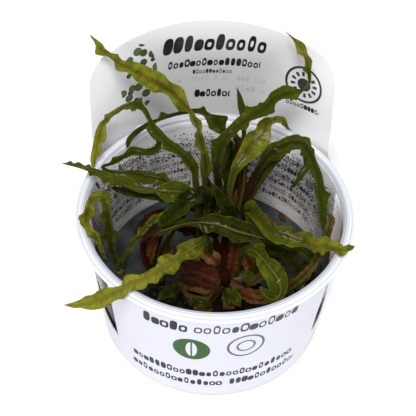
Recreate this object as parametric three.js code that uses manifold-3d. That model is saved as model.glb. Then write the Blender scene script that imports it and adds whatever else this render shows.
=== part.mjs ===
// Cryptocoryne crispatula grown on gel in a clear plastic cup, with a plastic label wrapped round the cup.
// Millimetres, +Z up. The origin is the centre of the cup's underside, and the label's front faces -Y.
import * as THREE from "three";
import { mergeVertices } from "three/addons/utils/BufferGeometryUtils.js";
import Module from "manifold-3d";

const wasm = await Module();
wasm.setup();

// Cup: a clear tapered wall with a flat rim
const RIM_RADIUS = 50;
const RIM_Z = 57.2;
const RIM_THICKNESS = 1;
const RIM_INNER_RISE = 0.6; // how far the rim's inner edge stands above its outer edge
const RIM_INNER_WIDTH = 0.6;
const RIM_UNDERCUT = 0.2;
const BASE_RADIUS = 41.2;
const WALL_TAPER = 0.0987; // radius gained for each millimetre of height
const WALL = 0.9;
const FLOOR = 1.2;
const FOOT_ROUND = 1;
const ROUND_SEGMENTS = 60;
const MERGE_WITHIN = 1e-3; // points nearer to each other than this are one

// Gel that fills the cup's lower third
const GEL_TOP = 21.2;
const TOUCH_GAP = 0.3;

// Label: one sheet with a front panel, a low band all the way round and a tall back tab
const LABEL_GAP = 0.3;
const LABEL_THICKNESS = 0.4;
const LABEL_TURN = THREE.MathUtils.degToRad(4.6); // the sheet sits turned on the cup
const HALF_TURN = Math.PI * (BASE_RADIUS + WALL_TAPER * RIM_Z); // half of the sheet's length round the cup
const LABEL_FOOT = 1.2;
const FRONT_TOP = 55.8;
const FRONT_HALF_ANGLE = THREE.MathUtils.degToRad(55.5);
const NOTCH_Z = 15.5;
const NOTCH_CURVE = 1.6;
const SLOT_LOW = 54.2;
const SLOT_HIGH = 58.6;
const SLOT_HALF_LENGTH = 30;
const TAB_HALF_WIDTH = 49.6;
const TAB_TOP = 99.6;
const TAB_ARCH = 6.2; // how far the top falls from its middle to its sides
const TAB_CORNER = 8;
const TAB_RADIUS = 62;
const TAB_BACK_Y = 48.6;
const TAB_LEAN = Math.tan(THREE.MathUtils.degToRad(7));
const TAB_BLEND_LOW = 34; // height from which the sheet leaves the wall to become the flatter tab
const TAB_BLEND_NEAR = 60; // arc lengths between which the tab's surface turns back into the wall's
const TAB_BLEND_FAR = 85;
const SLOT_PARTS = 7; // cells along each stretch of half of the sheet, from the back's middle to the front's
const SHOULDER_PARTS = 7;
const NOTCH_PARTS = 11;
const FRONT_PARTS = 9;
const BACK_ROWS = 4;
const TAB_ROWS = 2;
const NORMAL_STEP = 0.1; // distance to the neighbours that a sheet's direction is taken from

// Leaves
const UP_TO_LIGHT = new THREE.Vector3(0, -0.67, 0.74); // the side that a blade turns up where its roll is 0
const STEP = 1.7; // length between two stations along a leaf
const SPAN_SAMPLES = 24; // points worked out along a leaf's curve for each span between two rows
const LOBE_LENGTH = 4.6;
const LOBE_DEPTH = 0.26; // the margin's lobes, its ruffle and the blade's fold are shares of the half width
const RUFFLE = 0.34;
const FOLD = 0.16;
const OTHER_SIDE_LAG = 2; // radians by which one margin's lobes lag behind the other's
const RUFFLE_LEAD = 1; // radians by which the ruffle leads the lobes
const BLADE_STARTS = 1.1; // half width below which a leaf is a plain petiole
const BLADE_WHOLE = 1.6; // half width above which it is all blade
const LEAST_HALF_WIDTH = 0.25;
const STALK_THICKNESS = 0.8;
const BLADE_THICKNESS = 0.35;

const material = (color, roughness, metalness = 0) =>
  new THREE.MeshStandardMaterial({ color, roughness, metalness });
const clearPlastic = material(0xdfe6ee, 0.12);
const whitePlastic = material(0xe6e6ee, 0.4);
const gelMatter = material(0x4a5a66, 0.2);
const lightLeaf = material(0x8a9a2c, 0.4);
const midLeaf = material(0x5c7a22, 0.4);
const darkLeaf = material(0x35521c, 0.4);
const oldLeaf = material(0x7d4a28, 0.5);
const crownMatter = material(0x5d5a34, 0.6);

// A closed mesh as a manifold solid.
function solidOf(geometry) {
  const bare = geometry.index ? geometry.toNonIndexed() : geometry.clone();
  bare.deleteAttribute("normal");
  bare.deleteAttribute("uv");
  const merged = mergeVertices(bare, MERGE_WITHIN);
  return new wasm.Manifold(
    new wasm.Mesh({
      numProp: 3,
      vertProperties: merged.attributes.position.array,
      triVerts: new Uint32Array(merged.index.array),
    }),
  );
}

function geometryOf(solid) {
  const mesh = solid.getMesh();
  return new THREE.BufferGeometry()
    .setAttribute("position", new THREE.BufferAttribute(mesh.vertProperties, 3))
    .setIndex(new THREE.BufferAttribute(mesh.triVerts, 1));
}

function geometryFrom(points, triangles) {
  const positions = points.flatMap((p) => [p.x, p.y, p.z]);
  return new THREE.BufferGeometry()
    .setAttribute("position", new THREE.Float32BufferAttribute(positions, 3))
    .setIndex(triangles);
}

const lathe = (profile, segments) => {
  const points = profile.map(([r, z]) => new THREE.Vector2(r, z));
  return new THREE.LatheGeometry(points, segments).rotateX(Math.PI / 2);
};

const wallOuter = (z) => BASE_RADIUS + WALL_TAPER * z;
const wallInner = (z) => wallOuter(z) - WALL;

// Profile from the axis on the underside, up the outside, over the rim and down the inside.
function makeCup() {
  const rimLow = RIM_Z - RIM_THICKNESS;
  const rimTop = RIM_Z + RIM_INNER_RISE;
  return lathe(
    [
      [0, 0],
      [BASE_RADIUS - FOOT_ROUND, 0],
      [BASE_RADIUS, FOOT_ROUND],
      [wallOuter(rimLow), rimLow],
      [RIM_RADIUS, rimLow - RIM_UNDERCUT],
      [RIM_RADIUS, RIM_Z],
      [wallOuter(rimTop) + RIM_INNER_WIDTH, rimTop],
      [wallInner(rimTop), rimTop],
      [wallInner(FLOOR + FOOT_ROUND), FLOOR + FOOT_ROUND],
      [wallInner(0) - FOOT_ROUND, FLOOR],
      [0, FLOOR],
    ],
    ROUND_SEGMENTS,
  );
}

// Crowns: the short stout stem that each plantlet's leaves grow from, set a little into the gel.
const CROWN_TOP = 2.4;
const CROWN_DEPTH = 5;
const CROWN_NARROWING = 0.92; // its top's radius as a share of its radius at the gel
const CROWNS = {
  crown_left: [-21, -3.5, 3.6],
  crown_far_left: [-35.2, -2.5, 2.2],
  crown_middle: [-0.5, 1.5, 4.4],
  crown_right: [9.5, -0.8, 4.5],
  crown_far_right: [33, -4.8, 2],
};

function crownProfile(radius, grow) {
  return [
    [0, -CROWN_DEPTH - grow],
    [radius / 2 + grow, -CROWN_DEPTH - grow],
    [radius + grow, 0],
    [radius * CROWN_NARROWING + grow, CROWN_TOP + grow],
    [0, CROWN_TOP + grow],
  ];
}

const CROWN_SEGMENTS = 12;
const crownSolid = ([x, y, radius], grow) =>
  solidOf(lathe(crownProfile(radius, grow), CROWN_SEGMENTS).translate(x, y, GEL_TOP));

// Gel disc with a pocket round each crown.
function makeGel() {
  const low = FLOOR + TOUCH_GAP;
  const profile = [
    [0, low],
    [wallInner(0) - FOOT_ROUND - TOUCH_GAP, low],
    [wallInner(FLOOR + FOOT_ROUND) - TOUCH_GAP, FLOOR + FOOT_ROUND + TOUCH_GAP],
    [wallInner(GEL_TOP) - TOUCH_GAP, GEL_TOP],
    [0, GEL_TOP],
  ];
  let gel = solidOf(lathe(profile, ROUND_SEGMENTS));
  for (const crown of Object.values(CROWNS)) gel = gel.subtract(crownSolid(crown, TOUCH_GAP));
  return geometryOf(gel);
}

// Middle of the label's sheet at an arc length from its back centre line and a height. Low down it hugs the
// wall. The tab is flatter than the cup and leans back.
function labelPoint(arc, z) {
  const hugRadius = wallOuter(z) + LABEL_GAP + LABEL_THICKNESS / 2;
  const hugAngle = arc / wallOuter(RIM_Z);
  const onRing = (radius, angle) => [radius * Math.sin(angle), radius * Math.cos(angle)];
  const [hugX, hugY] = onRing(hugRadius, hugAngle);
  const hug = new THREE.Vector3(hugX, hugY, z);
  const [tabX, tabY] = onRing(TAB_RADIUS, arc / TAB_RADIUS);
  const tabCentreY = TAB_BACK_Y - TAB_RADIUS + (z - RIM_Z) * TAB_LEAN;
  const tab = new THREE.Vector3(tabX, tabCentreY + tabY, z);
  const blend = THREE.MathUtils.smoothstep(z, TAB_BLEND_LOW, SLOT_LOW);
  const nearBack = 1 - THREE.MathUtils.smoothstep(Math.abs(arc), TAB_BLEND_NEAR, TAB_BLEND_FAR);
  return hug.lerp(tab, blend * nearBack);
}

// Highest point of the back tab at an arc length: a shallow arch with round corners.
function tabTop(arc) {
  const across = Math.abs(arc) / TAB_HALF_WIDTH;
  const arch = TAB_TOP - TAB_ARCH * across ** 2;
  const past = Math.abs(arc) - (TAB_HALF_WIDTH - TAB_CORNER);
  if (past <= 0) return arch;
  return arch - TAB_CORNER + Math.sqrt(Math.max(0, TAB_CORNER ** 2 - past ** 2));
}

// Cells of the sheet between two heights along a run of arc lengths, as corner lists.
function sheetCells(arcs, low, high, rows) {
  const cells = [];
  for (let i = 0; i < arcs.length - 1; i++) {
    for (let j = 0; j < rows; j++) {
      const corner = (arc, k) => [arc, low(arc) + ((high(arc) - low(arc)) * k) / rows];
      const [left, right] = [arcs[i], arcs[i + 1]];
      cells.push([corner(left, j), corner(right, j), corner(right, j + 1), corner(left, j + 1)]);
    }
  }
  return cells;
}

// Closes a sheet of cells into a solid: inner and outer skins, and a wall along each free edge.
function thicken(cells, pointAt, thickness) {
  const points = [];
  const numbers = new Map();
  const numberOf = ([arc, z]) => {
    const wrapped = arc < MERGE_WITHIN - HALF_TURN ? HALF_TURN : arc; // the sheet's ends meet in front
    const key = wrapped.toFixed(3) + "," + z.toFixed(3);
    if (!numbers.has(key)) {
      numbers.set(key, points.length / 2);
      const here = pointAt(arc, z);
      const along = pointAt(arc + NORMAL_STEP, z).sub(here);
      const up = pointAt(arc, z + NORMAL_STEP).sub(here);
      const out = along.cross(up).normalize().multiplyScalar(-thickness / 2);
      points.push(here.clone().add(out), here.clone().sub(out));
    }
    return numbers.get(key);
  };
  const faces = [];
  for (const cell of cells) {
    const ids = cell.map(numberOf).filter((id, k, all) => all.indexOf(id) === k);
    for (let k = 1; k < ids.length - 1; k++) faces.push([ids[0], ids[k], ids[k + 1]]);
  }
  const edges = new Set(faces.flatMap(([a, b, c]) => [a + "-" + b, b + "-" + c, c + "-" + a]));
  const triangles = [];
  for (const [a, b, c] of faces) {
    triangles.push(2 * a + 1, 2 * b + 1, 2 * c + 1, 2 * a, 2 * c, 2 * b);
    for (const [from, to] of [[a, b], [b, c], [c, a]]) {
      if (edges.has(to + "-" + from)) continue;
      triangles.push(2 * from, 2 * to, 2 * to + 1, 2 * from, 2 * to + 1, 2 * from + 1);
    }
  }
  return geometryFrom(points, triangles);
}

function makeLabel() {
  const backEdge = HALF_TURN - FRONT_HALF_ANGLE * wallOuter(RIM_Z);
  const foot = () => LABEL_FOOT;
  const bandTop = () => NOTCH_Z;
  const frontTop = () => FRONT_TOP;
  const slotLow = () => SLOT_LOW;
  const slotHigh = () => SLOT_HIGH;
  const notchTop = (arc) => {
    const rise = (backEdge - Math.abs(arc)) / (backEdge - TAB_HALF_WIDTH);
    return NOTCH_Z + (SLOT_LOW - NOTCH_Z) * Math.max(0, rise) ** NOTCH_CURVE;
  };
  const cells = [];
  for (const side of [-1, 1]) {
    const run = (from, to, parts) => {
      const arcs = Array.from({ length: parts + 1 }, (_, k) => side * (from + ((to - from) * k) / parts));
      return side < 0 ? arcs.reverse() : arcs;
    };
    const slotRun = run(0, SLOT_HALF_LENGTH, SLOT_PARTS);
    const shoulderRun = run(SLOT_HALF_LENGTH, TAB_HALF_WIDTH, SHOULDER_PARTS);
    const notchRun = run(TAB_HALF_WIDTH, backEdge, NOTCH_PARTS);
    const frontRun = run(backEdge, HALF_TURN, FRONT_PARTS);
    for (const arcs of [slotRun, shoulderRun, notchRun, frontRun]) {
      cells.push(...sheetCells(arcs, foot, bandTop, 1));
    }
    cells.push(...sheetCells(frontRun, bandTop, frontTop, 1));
    cells.push(...sheetCells(notchRun, bandTop, notchTop, BACK_ROWS));
    for (const arcs of [slotRun, shoulderRun]) {
      cells.push(...sheetCells(arcs, bandTop, slotLow, BACK_ROWS));
      cells.push(...sheetCells(arcs, slotHigh, tabTop, TAB_ROWS));
    }
    cells.push(...sheetCells(shoulderRun, slotLow, slotHigh, 1));
  }
  return thicken(cells, labelPoint, LABEL_THICKNESS).rotateZ(LABEL_TURN);
}

// Leaves. Each row is a point on the midrib from the crown to the tip: x, y, z, half width, and the roll in
// degrees that turns the blade about the midrib.
const LEAVES = {
  tall_left: [lightLeaf, [
    [-2, 2, 24.2, 0.8, 0], [-3, 1, 47, 0.7, 0], [-4, 1, 67, 0.9, 0], [-4, 2, 77, 1.6, 20],
    [-5, 2, 85, 1.9, 0], [-6, 3, 90, 1.5, 0], [-7.5, 6, 93, 2.2, 0], [-11, 11, 96, 3, 0],
    [-18, 17, 98, 3.2, 0], [-26, 22, 99, 3.4, 0], [-35, 28, 99, 2.1, 20], [-41, 33, 100, 1.7, 0],
    [-46.5, 38.5, 103, 0.4, 0],
  ]],
  left_arch: [darkLeaf, [
    [-3, 4, 24.2, 0.8, 0], [-5, 3, 49, 0.7, 0], [-7, 4, 64, 1.1, 0], [-8.5, 5, 72, 1.7, 0],
    [-12.5, 5, 79, 2.4, 0], [-17, 6, 83, 2.6, 0], [-22, 9, 87, 2.2, 0], [-25.5, 13, 92, 2.1, 0],
    [-29, 17, 91, 1.6, 0], [-34, 20, 86, 1.6, 0], [-41, 25, 75, 1.6, 0], [-43, 24, 70, 2.2, 0],
    [-44.5, 21, 64, 2, 0], [-45.5, 16, 59, 0.6, 0],
  ]],
  back_arch: [darkLeaf, [
    [0, 4.5, 24.2, 0.8, 0], [1, 6, 47, 0.7, 0], [1, 9, 63, 0.9, 0], [3, 15, 70, 1.1, 0],
    [3, 20, 74, 2.2, 0], [0.5, 21, 78, 3.2, 0], [-2.5, 22, 81, 3.2, 0], [-6, 24, 82, 2, 0],
    [-10.5, 25, 81, 1.6, 0], [-17, 27, 77, 1.6, 0], [-26, 29, 70, 1.7, 0], [-32.5, 29, 63, 1.5, 0],
    [-34, 27, 59, 0.4, 0],
  ]],
  tall_right: [midLeaf, [
    [7, 1.5, 24.2, 0.8, 0], [4, 2, 47, 0.9, 0], [1, 2, 65, 1.4, 0], [0, 3, 76, 2.1, 0],
    [2, 6, 85, 2.7, 0], [6, 9, 89, 2.7, 0], [13, 15, 91, 2.8, 0], [19, 22, 91, 3, 0],
    [25, 26, 91, 2.5, 0], [30, 29, 91, 1.2, 50], [31, 32.5, 95, 1.6, 0], [28, 38, 101, 1.6, 0],
    [22, 45, 103, 0.4, 0],
  ]],
  light_green: [lightLeaf, [
    [9, 2.2, 24.2, 0.8, 0], [7, 3, 49, 0.7, 0], [5, 3, 62, 1.1, 0], [6, 7, 70, 1.8, 0], [9, 11, 74, 3, 0],
    [13, 16, 77, 3.5, 0], [17, 20, 80, 2.8, 0], [20, 24, 80, 1.6, 0], [23, 27, 77, 1.6, 0],
    [25, 27, 73, 0.9, 0], [27, 28, 71, 0.3, 0],
  ]],
  right_arch: [darkLeaf, [
    [12, 0, 24.2, 0.9, 0], [11, 2, 41, 0.9, 0], [11, 5, 53, 1.1, 0], [12.5, 8, 63, 1.4, 0],
    [16, 11, 70, 2.1, 0], [20, 13, 75, 2.8, 0], [25.5, 16, 76, 3, 0], [30.5, 19, 73, 2.3, 0],
    [34, 20, 67, 2.2, 0], [37, 19, 59, 2.4, 0], [38.5, 16, 52, 2.5, 0], [39.5, 12, 47, 2.2, 0],
    [40, 9.5, 43, 1.5, 0], [40.5, 7.5, 40, 0.4, 0],
  ]],
  right_tip: [midLeaf, [
    [11.4, 2.4, 24.2, 0.8, 0], [12, 6, 41, 0.7, 0], [13, 11, 51, 0.9, 0], [17, 14, 60, 1.1, 0],
    [21, 17, 66, 1.3, 0], [26, 21, 69, 1.3, 0], [31, 23, 67, 1.1, 0], [33, 20, 62, 1.3, 0],
    [31, 17, 59, 1.1, 0], [29, 16, 55, 0.7, 0], [27, 16, 52, 0.3, 0],
  ]],
  left_low: [midLeaf, [
    [-3.5, 0, 24.2, 0.8, 0], [-6, -1, 47, 0.7, 0], [-7, -1, 60, 1.2, 0], [-11, -2, 67, 2.3, 0],
    [-16, -3, 69, 2.6, 0], [-23, -3, 69, 2.3, 0], [-30, -2, 69, 2.1, 0], [-37, 3, 68, 1.9, 0],
    [-44, 7, 67, 1.8, 0], [-50, 10, 66, 1.4, 0], [-56, 12, 65, 0.4, 0],
  ]],
  left_vein: [midLeaf, [
    [-23, -3, 24.2, 0.8, 0], [-22, -1, 32, 0.9, 0], [-19, 1, 43, 0.9, 0], [-15, 3, 55, 0.9, 0],
    [-15, 4, 61, 1.2, 0], [-19, 6, 65, 1.8, 0], [-25, 7, 66, 2.3, 0], [-32, 8, 66, 2.3, 0],
    [-38, 8, 66, 1.8, 0], [-41, 11, 65, 1.1, 0], [-38, 15, 63, 1.5, 0], [-33, 23, 60, 1.9, 0],
    [-27, 25, 60, 1.9, 0], [-23, 25, 62, 1.7, 0], [-22, 26, 65, 0.9, 0], [-26, 27, 68, 0.3, 0],
  ]],
  left_under: [darkLeaf, [
    [-20, -3, 24.2, 0.8, 0], [-18, -1, 34, 0.9, 0], [-15, 0, 45, 0.9, 0], [-11, 1, 54, 1.1, 0],
    [-13, 1, 60, 1.4, 0], [-18, 0, 62, 1.6, 0], [-24, 0, 63, 1.6, 0], [-30, 2, 62, 1.6, 0],
    [-35, 3, 62, 1.1, 0], [-38, 4, 62, 0.3, 0],
  ]],
  left_curl: [lightLeaf, [
    [-36, -3, 24.2, 0.9, 0], [-37, -3, 31, 1.7, 0], [-38, -3, 38, 2, 0], [-38, -4, 46, 2.2, 0],
    [-38, -5, 55, 2.3, 0], [-38.5, -5, 62, 2.5, 0], [-40, -5, 66, 2.1, 0], [-42.5, -4.5, 65, 1.7, 0],
    [-44.5, -6, 62.5, 1.7, 0], [-45, -11.5, 62, 2.4, 0], [-43.2, -16, 61.5, 2.3, 0],
    [-41.3, -15.5, 57.5, 1.3, 0], [-40, -11.8, 46, 1.1, 0], [-39, -8, 34, 0.6, 0],
  ]],
  left_diagonal: [midLeaf, [
    [-34, -2, 24.2, 0.8, 0], [-33, -3, 31, 1.1, 0], [-30, -5, 41, 1.5, 0], [-26, -5, 49, 1.6, 0],
    [-23, -6, 56, 1.6, 0], [-19, -7, 60, 1.4, 0], [-16, -6, 63, 0.9, 0], [-14, -5, 65, 0.3, 0],
  ]],
  front_left: [lightLeaf, [
    [-0.5, -1.5, 24.2, 0.8, 0], [-1, -3, 36, 0.9, 0], [-2, -7, 47, 1.6, 0], [-5, -13, 53, 2.5, 0],
    [-10, -20, 56, 2.8, 0], [-15, -27, 58, 2.9, 0], [-20, -33, 60, 2.9, 0], [-26, -38, 61, 3, 0],
    [-31.5, -43, 62, 3, 0], [-37, -47, 62, 2.6, 0], [-43, -47.5, 60, 2, 0], [-49, -45.5, 57, 0.4, 0],
  ]],
  across: [midLeaf, [
    [-21, -6, 24.2, 1.1, 0], [-25, -6, 33, 1.1, 0], [-26, -5, 40, 1.1, 0], [-24, -7, 48, 1.1, 0],
    [-19, -9, 54, 1.4, 0], [-12, -9, 58, 1.9, 0], [-5, -9, 60, 2.5, 0], [2, -10, 60, 3, 0],
    [9, -11, 58, 3, 0], [17, -10, 54, 2.5, 0], [24, -8, 50, 2, 0], [30, -8, 46, 1.4, 0],
    [35, -9, 42, 1.1, 0], [38, -11, 37, 0.3, 0],
  ]],
  right_over: [lightLeaf, [
    [10, -1, 24.2, 0.8, 0], [12, -2, 39, 0.9, 0], [13, -1, 51, 1.6, 0], [12, -1, 58, 2.5, 0],
    [13, -4, 62, 2.3, 0], [15, -9, 64, 2.3, 0], [19, -14, 64, 2.2, 0], [25, -16, 64, 2.4, 0],
    [30, -18, 63, 2.6, 0], [35, -19, 62, 2.4, 0], [41, -19, 61, 1.9, 0], [45, -19, 60, 1.4, 0],
    [49, -16, 59, 0.3, 0],
  ]],
  lower_right: [lightLeaf, [
    [9, -3.5, 24.2, 0.9, 0], [10, -5, 35, 0.9, 0], [11, -8, 44, 1.4, 0], [14, -11.5, 49, 2.3, 0],
    [17.5, -17, 51, 2.6, 0], [20.5, -22, 51.5, 2.8, 0], [23, -26, 51, 2.8, 0], [24, -29, 48, 2.3, 0],
    [22, -31, 46, 1.7, 0], [18.5, -31, 48, 1.4, 0], [16.5, -29, 50.5, 0.4, 0],
  ]],
  low_right: [darkLeaf, [
    [33, -5, 24.2, 0.8, 0], [32, -4, 29, 1.7, 0], [29, -2, 33, 2.2, 0], [25, 0, 35, 2.2, 0],
    [21, 2, 35, 1.9, 0], [18, 3, 36, 0.4, 0],
  ]],
  wall_right: [oldLeaf, [
    [25, -11, 22.2, 0.7, 0], [29, -12, 30, 1.5, 0], [33, -12, 36, 1.5, 0], [36, -11, 41, 1.4, 0],
    [38, -9, 45, 1.3, 0], [40, -7, 48, 0.4, 0],
  ]],
  wall_tip: [oldLeaf, [
    [35, 4, 22.2, 0.8, 0], [39, 3, 33, 1.1, 0], [41, 1, 42, 1.5, 0], [42, 2, 48, 1.5, 0],
    [42, 3, 52, 1.1, 0], [40, 3, 55, 0.3, 0],
  ]],
  upright: [darkLeaf, [
    [1.8, 4.4, 24.2, 0.8, 0], [8, 9, 45, 0.7, 0], [10, 13, 57, 0.7, 0], [9.5, 18, 67, 0.7, 0],
    [9, 24, 76, 0.9, 0], [8, 28, 81, 1.3, 0], [6, 33, 86, 0.4, 0],
  ]],
  crinkled: [darkLeaf, [
    [3, 2.4, 24.2, 0.8, 0], [4, 7, 43, 0.7, 0], [4.5, 11, 54, 1.1, 0], [5, 15, 61, 2.2, 0],
    [5, 18, 65, 2.2, 0], [4, 21, 68, 1.6, 0], [2, 25, 70, 0.4, 0],
  ]],
  down_right: [darkLeaf, [
    [6, -2, 24.2, 0.8, 0], [6, -2, 42, 0.9, 0], [6, -2, 53, 2.3, 0], [4, -3, 61, 2.8, 0],
    [1, -3, 68, 2.3, 0], [-2, -2, 73, 0.3, 0],
  ]],
  thick_blade: [midLeaf, [
    [-2.6, -1.6, 24.2, 0.8, 0], [-3, -2, 47, 0.9, 0], [-3, -2, 61, 1.6, 0], [-4, -3, 68, 2.5, 0],
    [-8, -5, 69, 3, 0], [-12, -7, 66, 3, 0], [-16, -9, 62, 2.5, 0], [-20, -10, 58, 0.5, 0],
  ]],
  small_left: [darkLeaf, [
    [-11, -10, 22, 0.4, 0], [-14, -13, 26, 1.7, 0], [-17, -16, 27, 1.8, 0], [-20, -19, 26, 0.4, 0],
  ]],
  small_middle: [darkLeaf, [
    [-9, -15, 22, 0.4, 0], [-6, -18, 26, 1.5, 0], [-2, -19, 26, 1.5, 0], [1, -19, 24, 0.3, 0],
  ]],
  small_right: [darkLeaf, [
    [4, -11, 22, 0.4, 0], [6, -15, 27, 2, 0], [9, -18, 28, 2, 0], [11, -20, 26, 0.4, 0],
  ]],
  old_tan: [oldLeaf, [
    [-6.2, 1.4, 22.2, 0.8, 0], [-7, 3, 25, 2.1, 0], [-8, 6.5, 27, 2.2, 0], [-9.5, 11, 27, 0.6, 0],
  ]],
  old_red: [oldLeaf, [
    [3, -6, 22, 0.8, 0], [-1, -5, 24, 2.1, 0], [-6, -4, 25, 2.3, 0], [-12, -3, 25, 0.6, 0],
  ]],
  old_brown: [oldLeaf, [
    [14.6, -4, 22.2, 0.8, 0], [15.4, -1, 27, 2.1, 0], [17, 3, 30, 2.1, 0], [18, 7, 31, 0.6, 0],
  ]],
  old_loop: [oldLeaf, [
    [13, -7, 22, 0.6, 0], [16, -7, 26, 1.5, 0], [20, -4, 28, 1.5, 0], [21, 1, 28, 0.4, 0],
  ]],
  old_orange: [oldLeaf, [
    [9, -8, 22, 0.8, 0], [11, -12, 24, 1.5, 0], [16, -15, 25, 1.7, 0], [22, -15, 25, 1.5, 0],
    [27, -13, 24, 0.4, 0],
  ]],
  old_strip: [oldLeaf, [
    [-9, -8, 23, 0.4, 0], [-8, -13, 27, 0.9, 0], [-5, -15, 29, 1.1, 0], [-2, -16, 29, 1.1, 0],
    [0, -14, 29, 0.4, 0],
  ]],
  old_dark: [oldLeaf, [
    [-31, 14, 23, 0.6, 0], [-28, 19, 23, 2.6, 0], [-24, 25, 23, 2.6, 0], [-20, 30, 23, 0.4, 0],
  ]],
};

// Uniform Catmull-Rom through rows of numbers.
function spline(rows, at) {
  const k = Math.min(Math.floor(at), rows.length - 2);
  const t = at - k;
  const row = (n) => rows[Math.min(Math.max(n, 0), rows.length - 1)];
  const [a, b, c, d] = [row(k - 1), row(k), row(k + 1), row(k + 2)];
  return b.map((value, n) => {
    const leaving = (c[n] - a[n]) / 2;
    const arriving = (d[n] - value) / 2;
    const rise = c[n] - value;
    const square = 3 * rise - 2 * leaving - arriving;
    const cube = leaving + arriving - 2 * rise;
    return value + t * (leaving + t * (square + t * cube));
  });
}

// Stations along a leaf at equal steps of length: its middle, side and normal, half width and length so far.
// The direction along the leaf comes from a few samples before and after the station.
function stations(rows) {
  const samples = (rows.length - 1) * SPAN_SAMPLES + 1;
  const fine = Array.from({ length: samples }, (_, k) => spline(rows, k / SPAN_SAMPLES));
  const middles = fine.map(([x, y, z]) => new THREE.Vector3(x, y, z));
  const lengths = middles.map(() => 0);
  for (let k = 1; k < samples; k++) lengths[k] = lengths[k - 1] + middles[k].distanceTo(middles[k - 1]);
  const whole = lengths[samples - 1];
  const count = Math.ceil(whole / STEP);
  return Array.from({ length: count + 1 }, (_, n) => {
    const length = (whole * n) / count;
    const past = lengths.findIndex((l) => l >= length - MERGE_WITHIN);
    const k = Math.max(past, 1);
    const part = (length - lengths[k - 1]) / (lengths[k] - lengths[k - 1]);
    const middle = middles[k - 1].clone().lerp(middles[k], part);
    const before = middles[Math.max(k - 3, 0)];
    const after = middles[Math.min(k + 2, samples - 1)];
    const along = after.clone().sub(before).normalize();
    const [, , , width, roll] = fine[k];
    const normal = UP_TO_LIGHT.clone().addScaledVector(along, -UP_TO_LIGHT.dot(along)).normalize();
    normal.applyAxisAngle(along, THREE.MathUtils.degToRad(roll));
    const side = along.clone().cross(normal);
    return { middle, normal, side, halfWidth: Math.max(width, LEAST_HALF_WIDTH), length };
  });
}

// A leaf as a thin closed body with four points a station: two wavy margins, and the midrib's top and
// underside. The top and underside are split along the same diagonals, so that they never cross.
function makeLeaf(rows) {
  const points = [];
  const rings = stations(rows);
  for (const { middle, normal, side, halfWidth, length } of rings) {
    const blade = THREE.MathUtils.smoothstep(halfWidth, BLADE_STARTS, BLADE_WHOLE);
    const margin = (sign) => {
      const wave = (2 * Math.PI * length) / LOBE_LENGTH + (sign < 0 ? OTHER_SIDE_LAG : 0);
      const reach = halfWidth * (1 + blade * LOBE_DEPTH * Math.sin(wave));
      const lift = halfWidth * blade * (FOLD + RUFFLE * Math.sin(wave + RUFFLE_LEAD));
      return middle.clone().addScaledVector(side, sign * reach).addScaledVector(normal, lift);
    };
    const half = THREE.MathUtils.lerp(Math.min(halfWidth, STALK_THICKNESS), BLADE_THICKNESS, blade);
    points.push(margin(1), middle.clone().addScaledVector(normal, half));
    points.push(margin(-1), middle.clone().addScaledVector(normal, -half));
  }
  const triangles = [0, 1, 2, 0, 2, 3];
  for (let n = 0; n < rings.length - 1; n++) {
    for (let k = 0; k < 4; k++) {
      const [a, b] = [4 * n + k, 4 * n + ((k + 1) % 4)];
      if (k < 2) triangles.push(a, b + 4, b, a, a + 4, b + 4);
      else triangles.push(a, a + 4, b, b, a + 4, b + 4);
    }
  }
  const last = 4 * (rings.length - 1);
  triangles.push(last, last + 2, last + 1, last, last + 3, last + 2);
  return geometryFrom(points, triangles);
}

const group = new THREE.Group();
const add = (name, geometry, look) => {
  const mesh = new THREE.Mesh(geometry, look);
  mesh.name = name;
  group.add(mesh);
};
add("cup", makeCup(), clearPlastic);
add("label", makeLabel(), whitePlastic);
add("gel", makeGel(), gelMatter);
for (const [name, crown] of Object.entries(CROWNS)) add(name, geometryOf(crownSolid(crown, 0)), crownMatter);
for (const [name, [look, rows]] of Object.entries(LEAVES)) add("leaf_" + name, makeLeaf(rows), look);

export default group;
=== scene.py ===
"""A cryptocoryne grown on gel in a clear plastic cup, with a printed plastic label wrapped round the cup."""
import math

import bpy
import numpy as np
from mathutils import Matrix, Vector


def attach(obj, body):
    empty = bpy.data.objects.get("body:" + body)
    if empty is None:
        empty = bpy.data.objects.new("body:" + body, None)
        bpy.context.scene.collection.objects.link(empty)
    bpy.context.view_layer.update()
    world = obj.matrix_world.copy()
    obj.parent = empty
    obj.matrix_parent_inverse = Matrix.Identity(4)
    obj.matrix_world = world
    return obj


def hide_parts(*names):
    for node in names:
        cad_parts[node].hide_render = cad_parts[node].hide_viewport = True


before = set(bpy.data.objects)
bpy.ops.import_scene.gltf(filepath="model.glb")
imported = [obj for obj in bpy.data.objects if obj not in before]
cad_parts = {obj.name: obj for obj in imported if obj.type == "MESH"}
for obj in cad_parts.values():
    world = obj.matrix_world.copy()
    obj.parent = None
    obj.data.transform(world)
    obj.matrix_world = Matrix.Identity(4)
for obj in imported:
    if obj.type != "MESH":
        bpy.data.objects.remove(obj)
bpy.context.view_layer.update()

# Camera
# It looks down into the cup from in front of the label, 48 degrees above the level of the rim.
camera_place = Vector((0.0, -0.2641, 0.3499))
camera_target = Vector((-0.0026, 0.0002, 0.0574))
camera_roll = math.radians(2.08)
FOCAL_PIXELS = 1100
PICTURE_PIXELS = 416
SENSOR_WIDTH = 36.0
camera_data = bpy.data.cameras.new("camera")
camera_data.sensor_width = SENSOR_WIDTH
camera_data.lens = SENSOR_WIDTH * FOCAL_PIXELS / PICTURE_PIXELS
camera = bpy.data.objects.new("camera", camera_data)
forward = (camera_target - camera_place).normalized()
level_right = forward.cross(Vector((0, 0, 1))).normalized()
level_up = level_right.cross(forward)
camera_right = level_right * math.cos(camera_roll) + level_up * math.sin(camera_roll)
camera_up = camera_right.cross(forward)
camera_turn = Matrix((camera_right, camera_up, -forward)).transposed().to_4x4()
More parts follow.
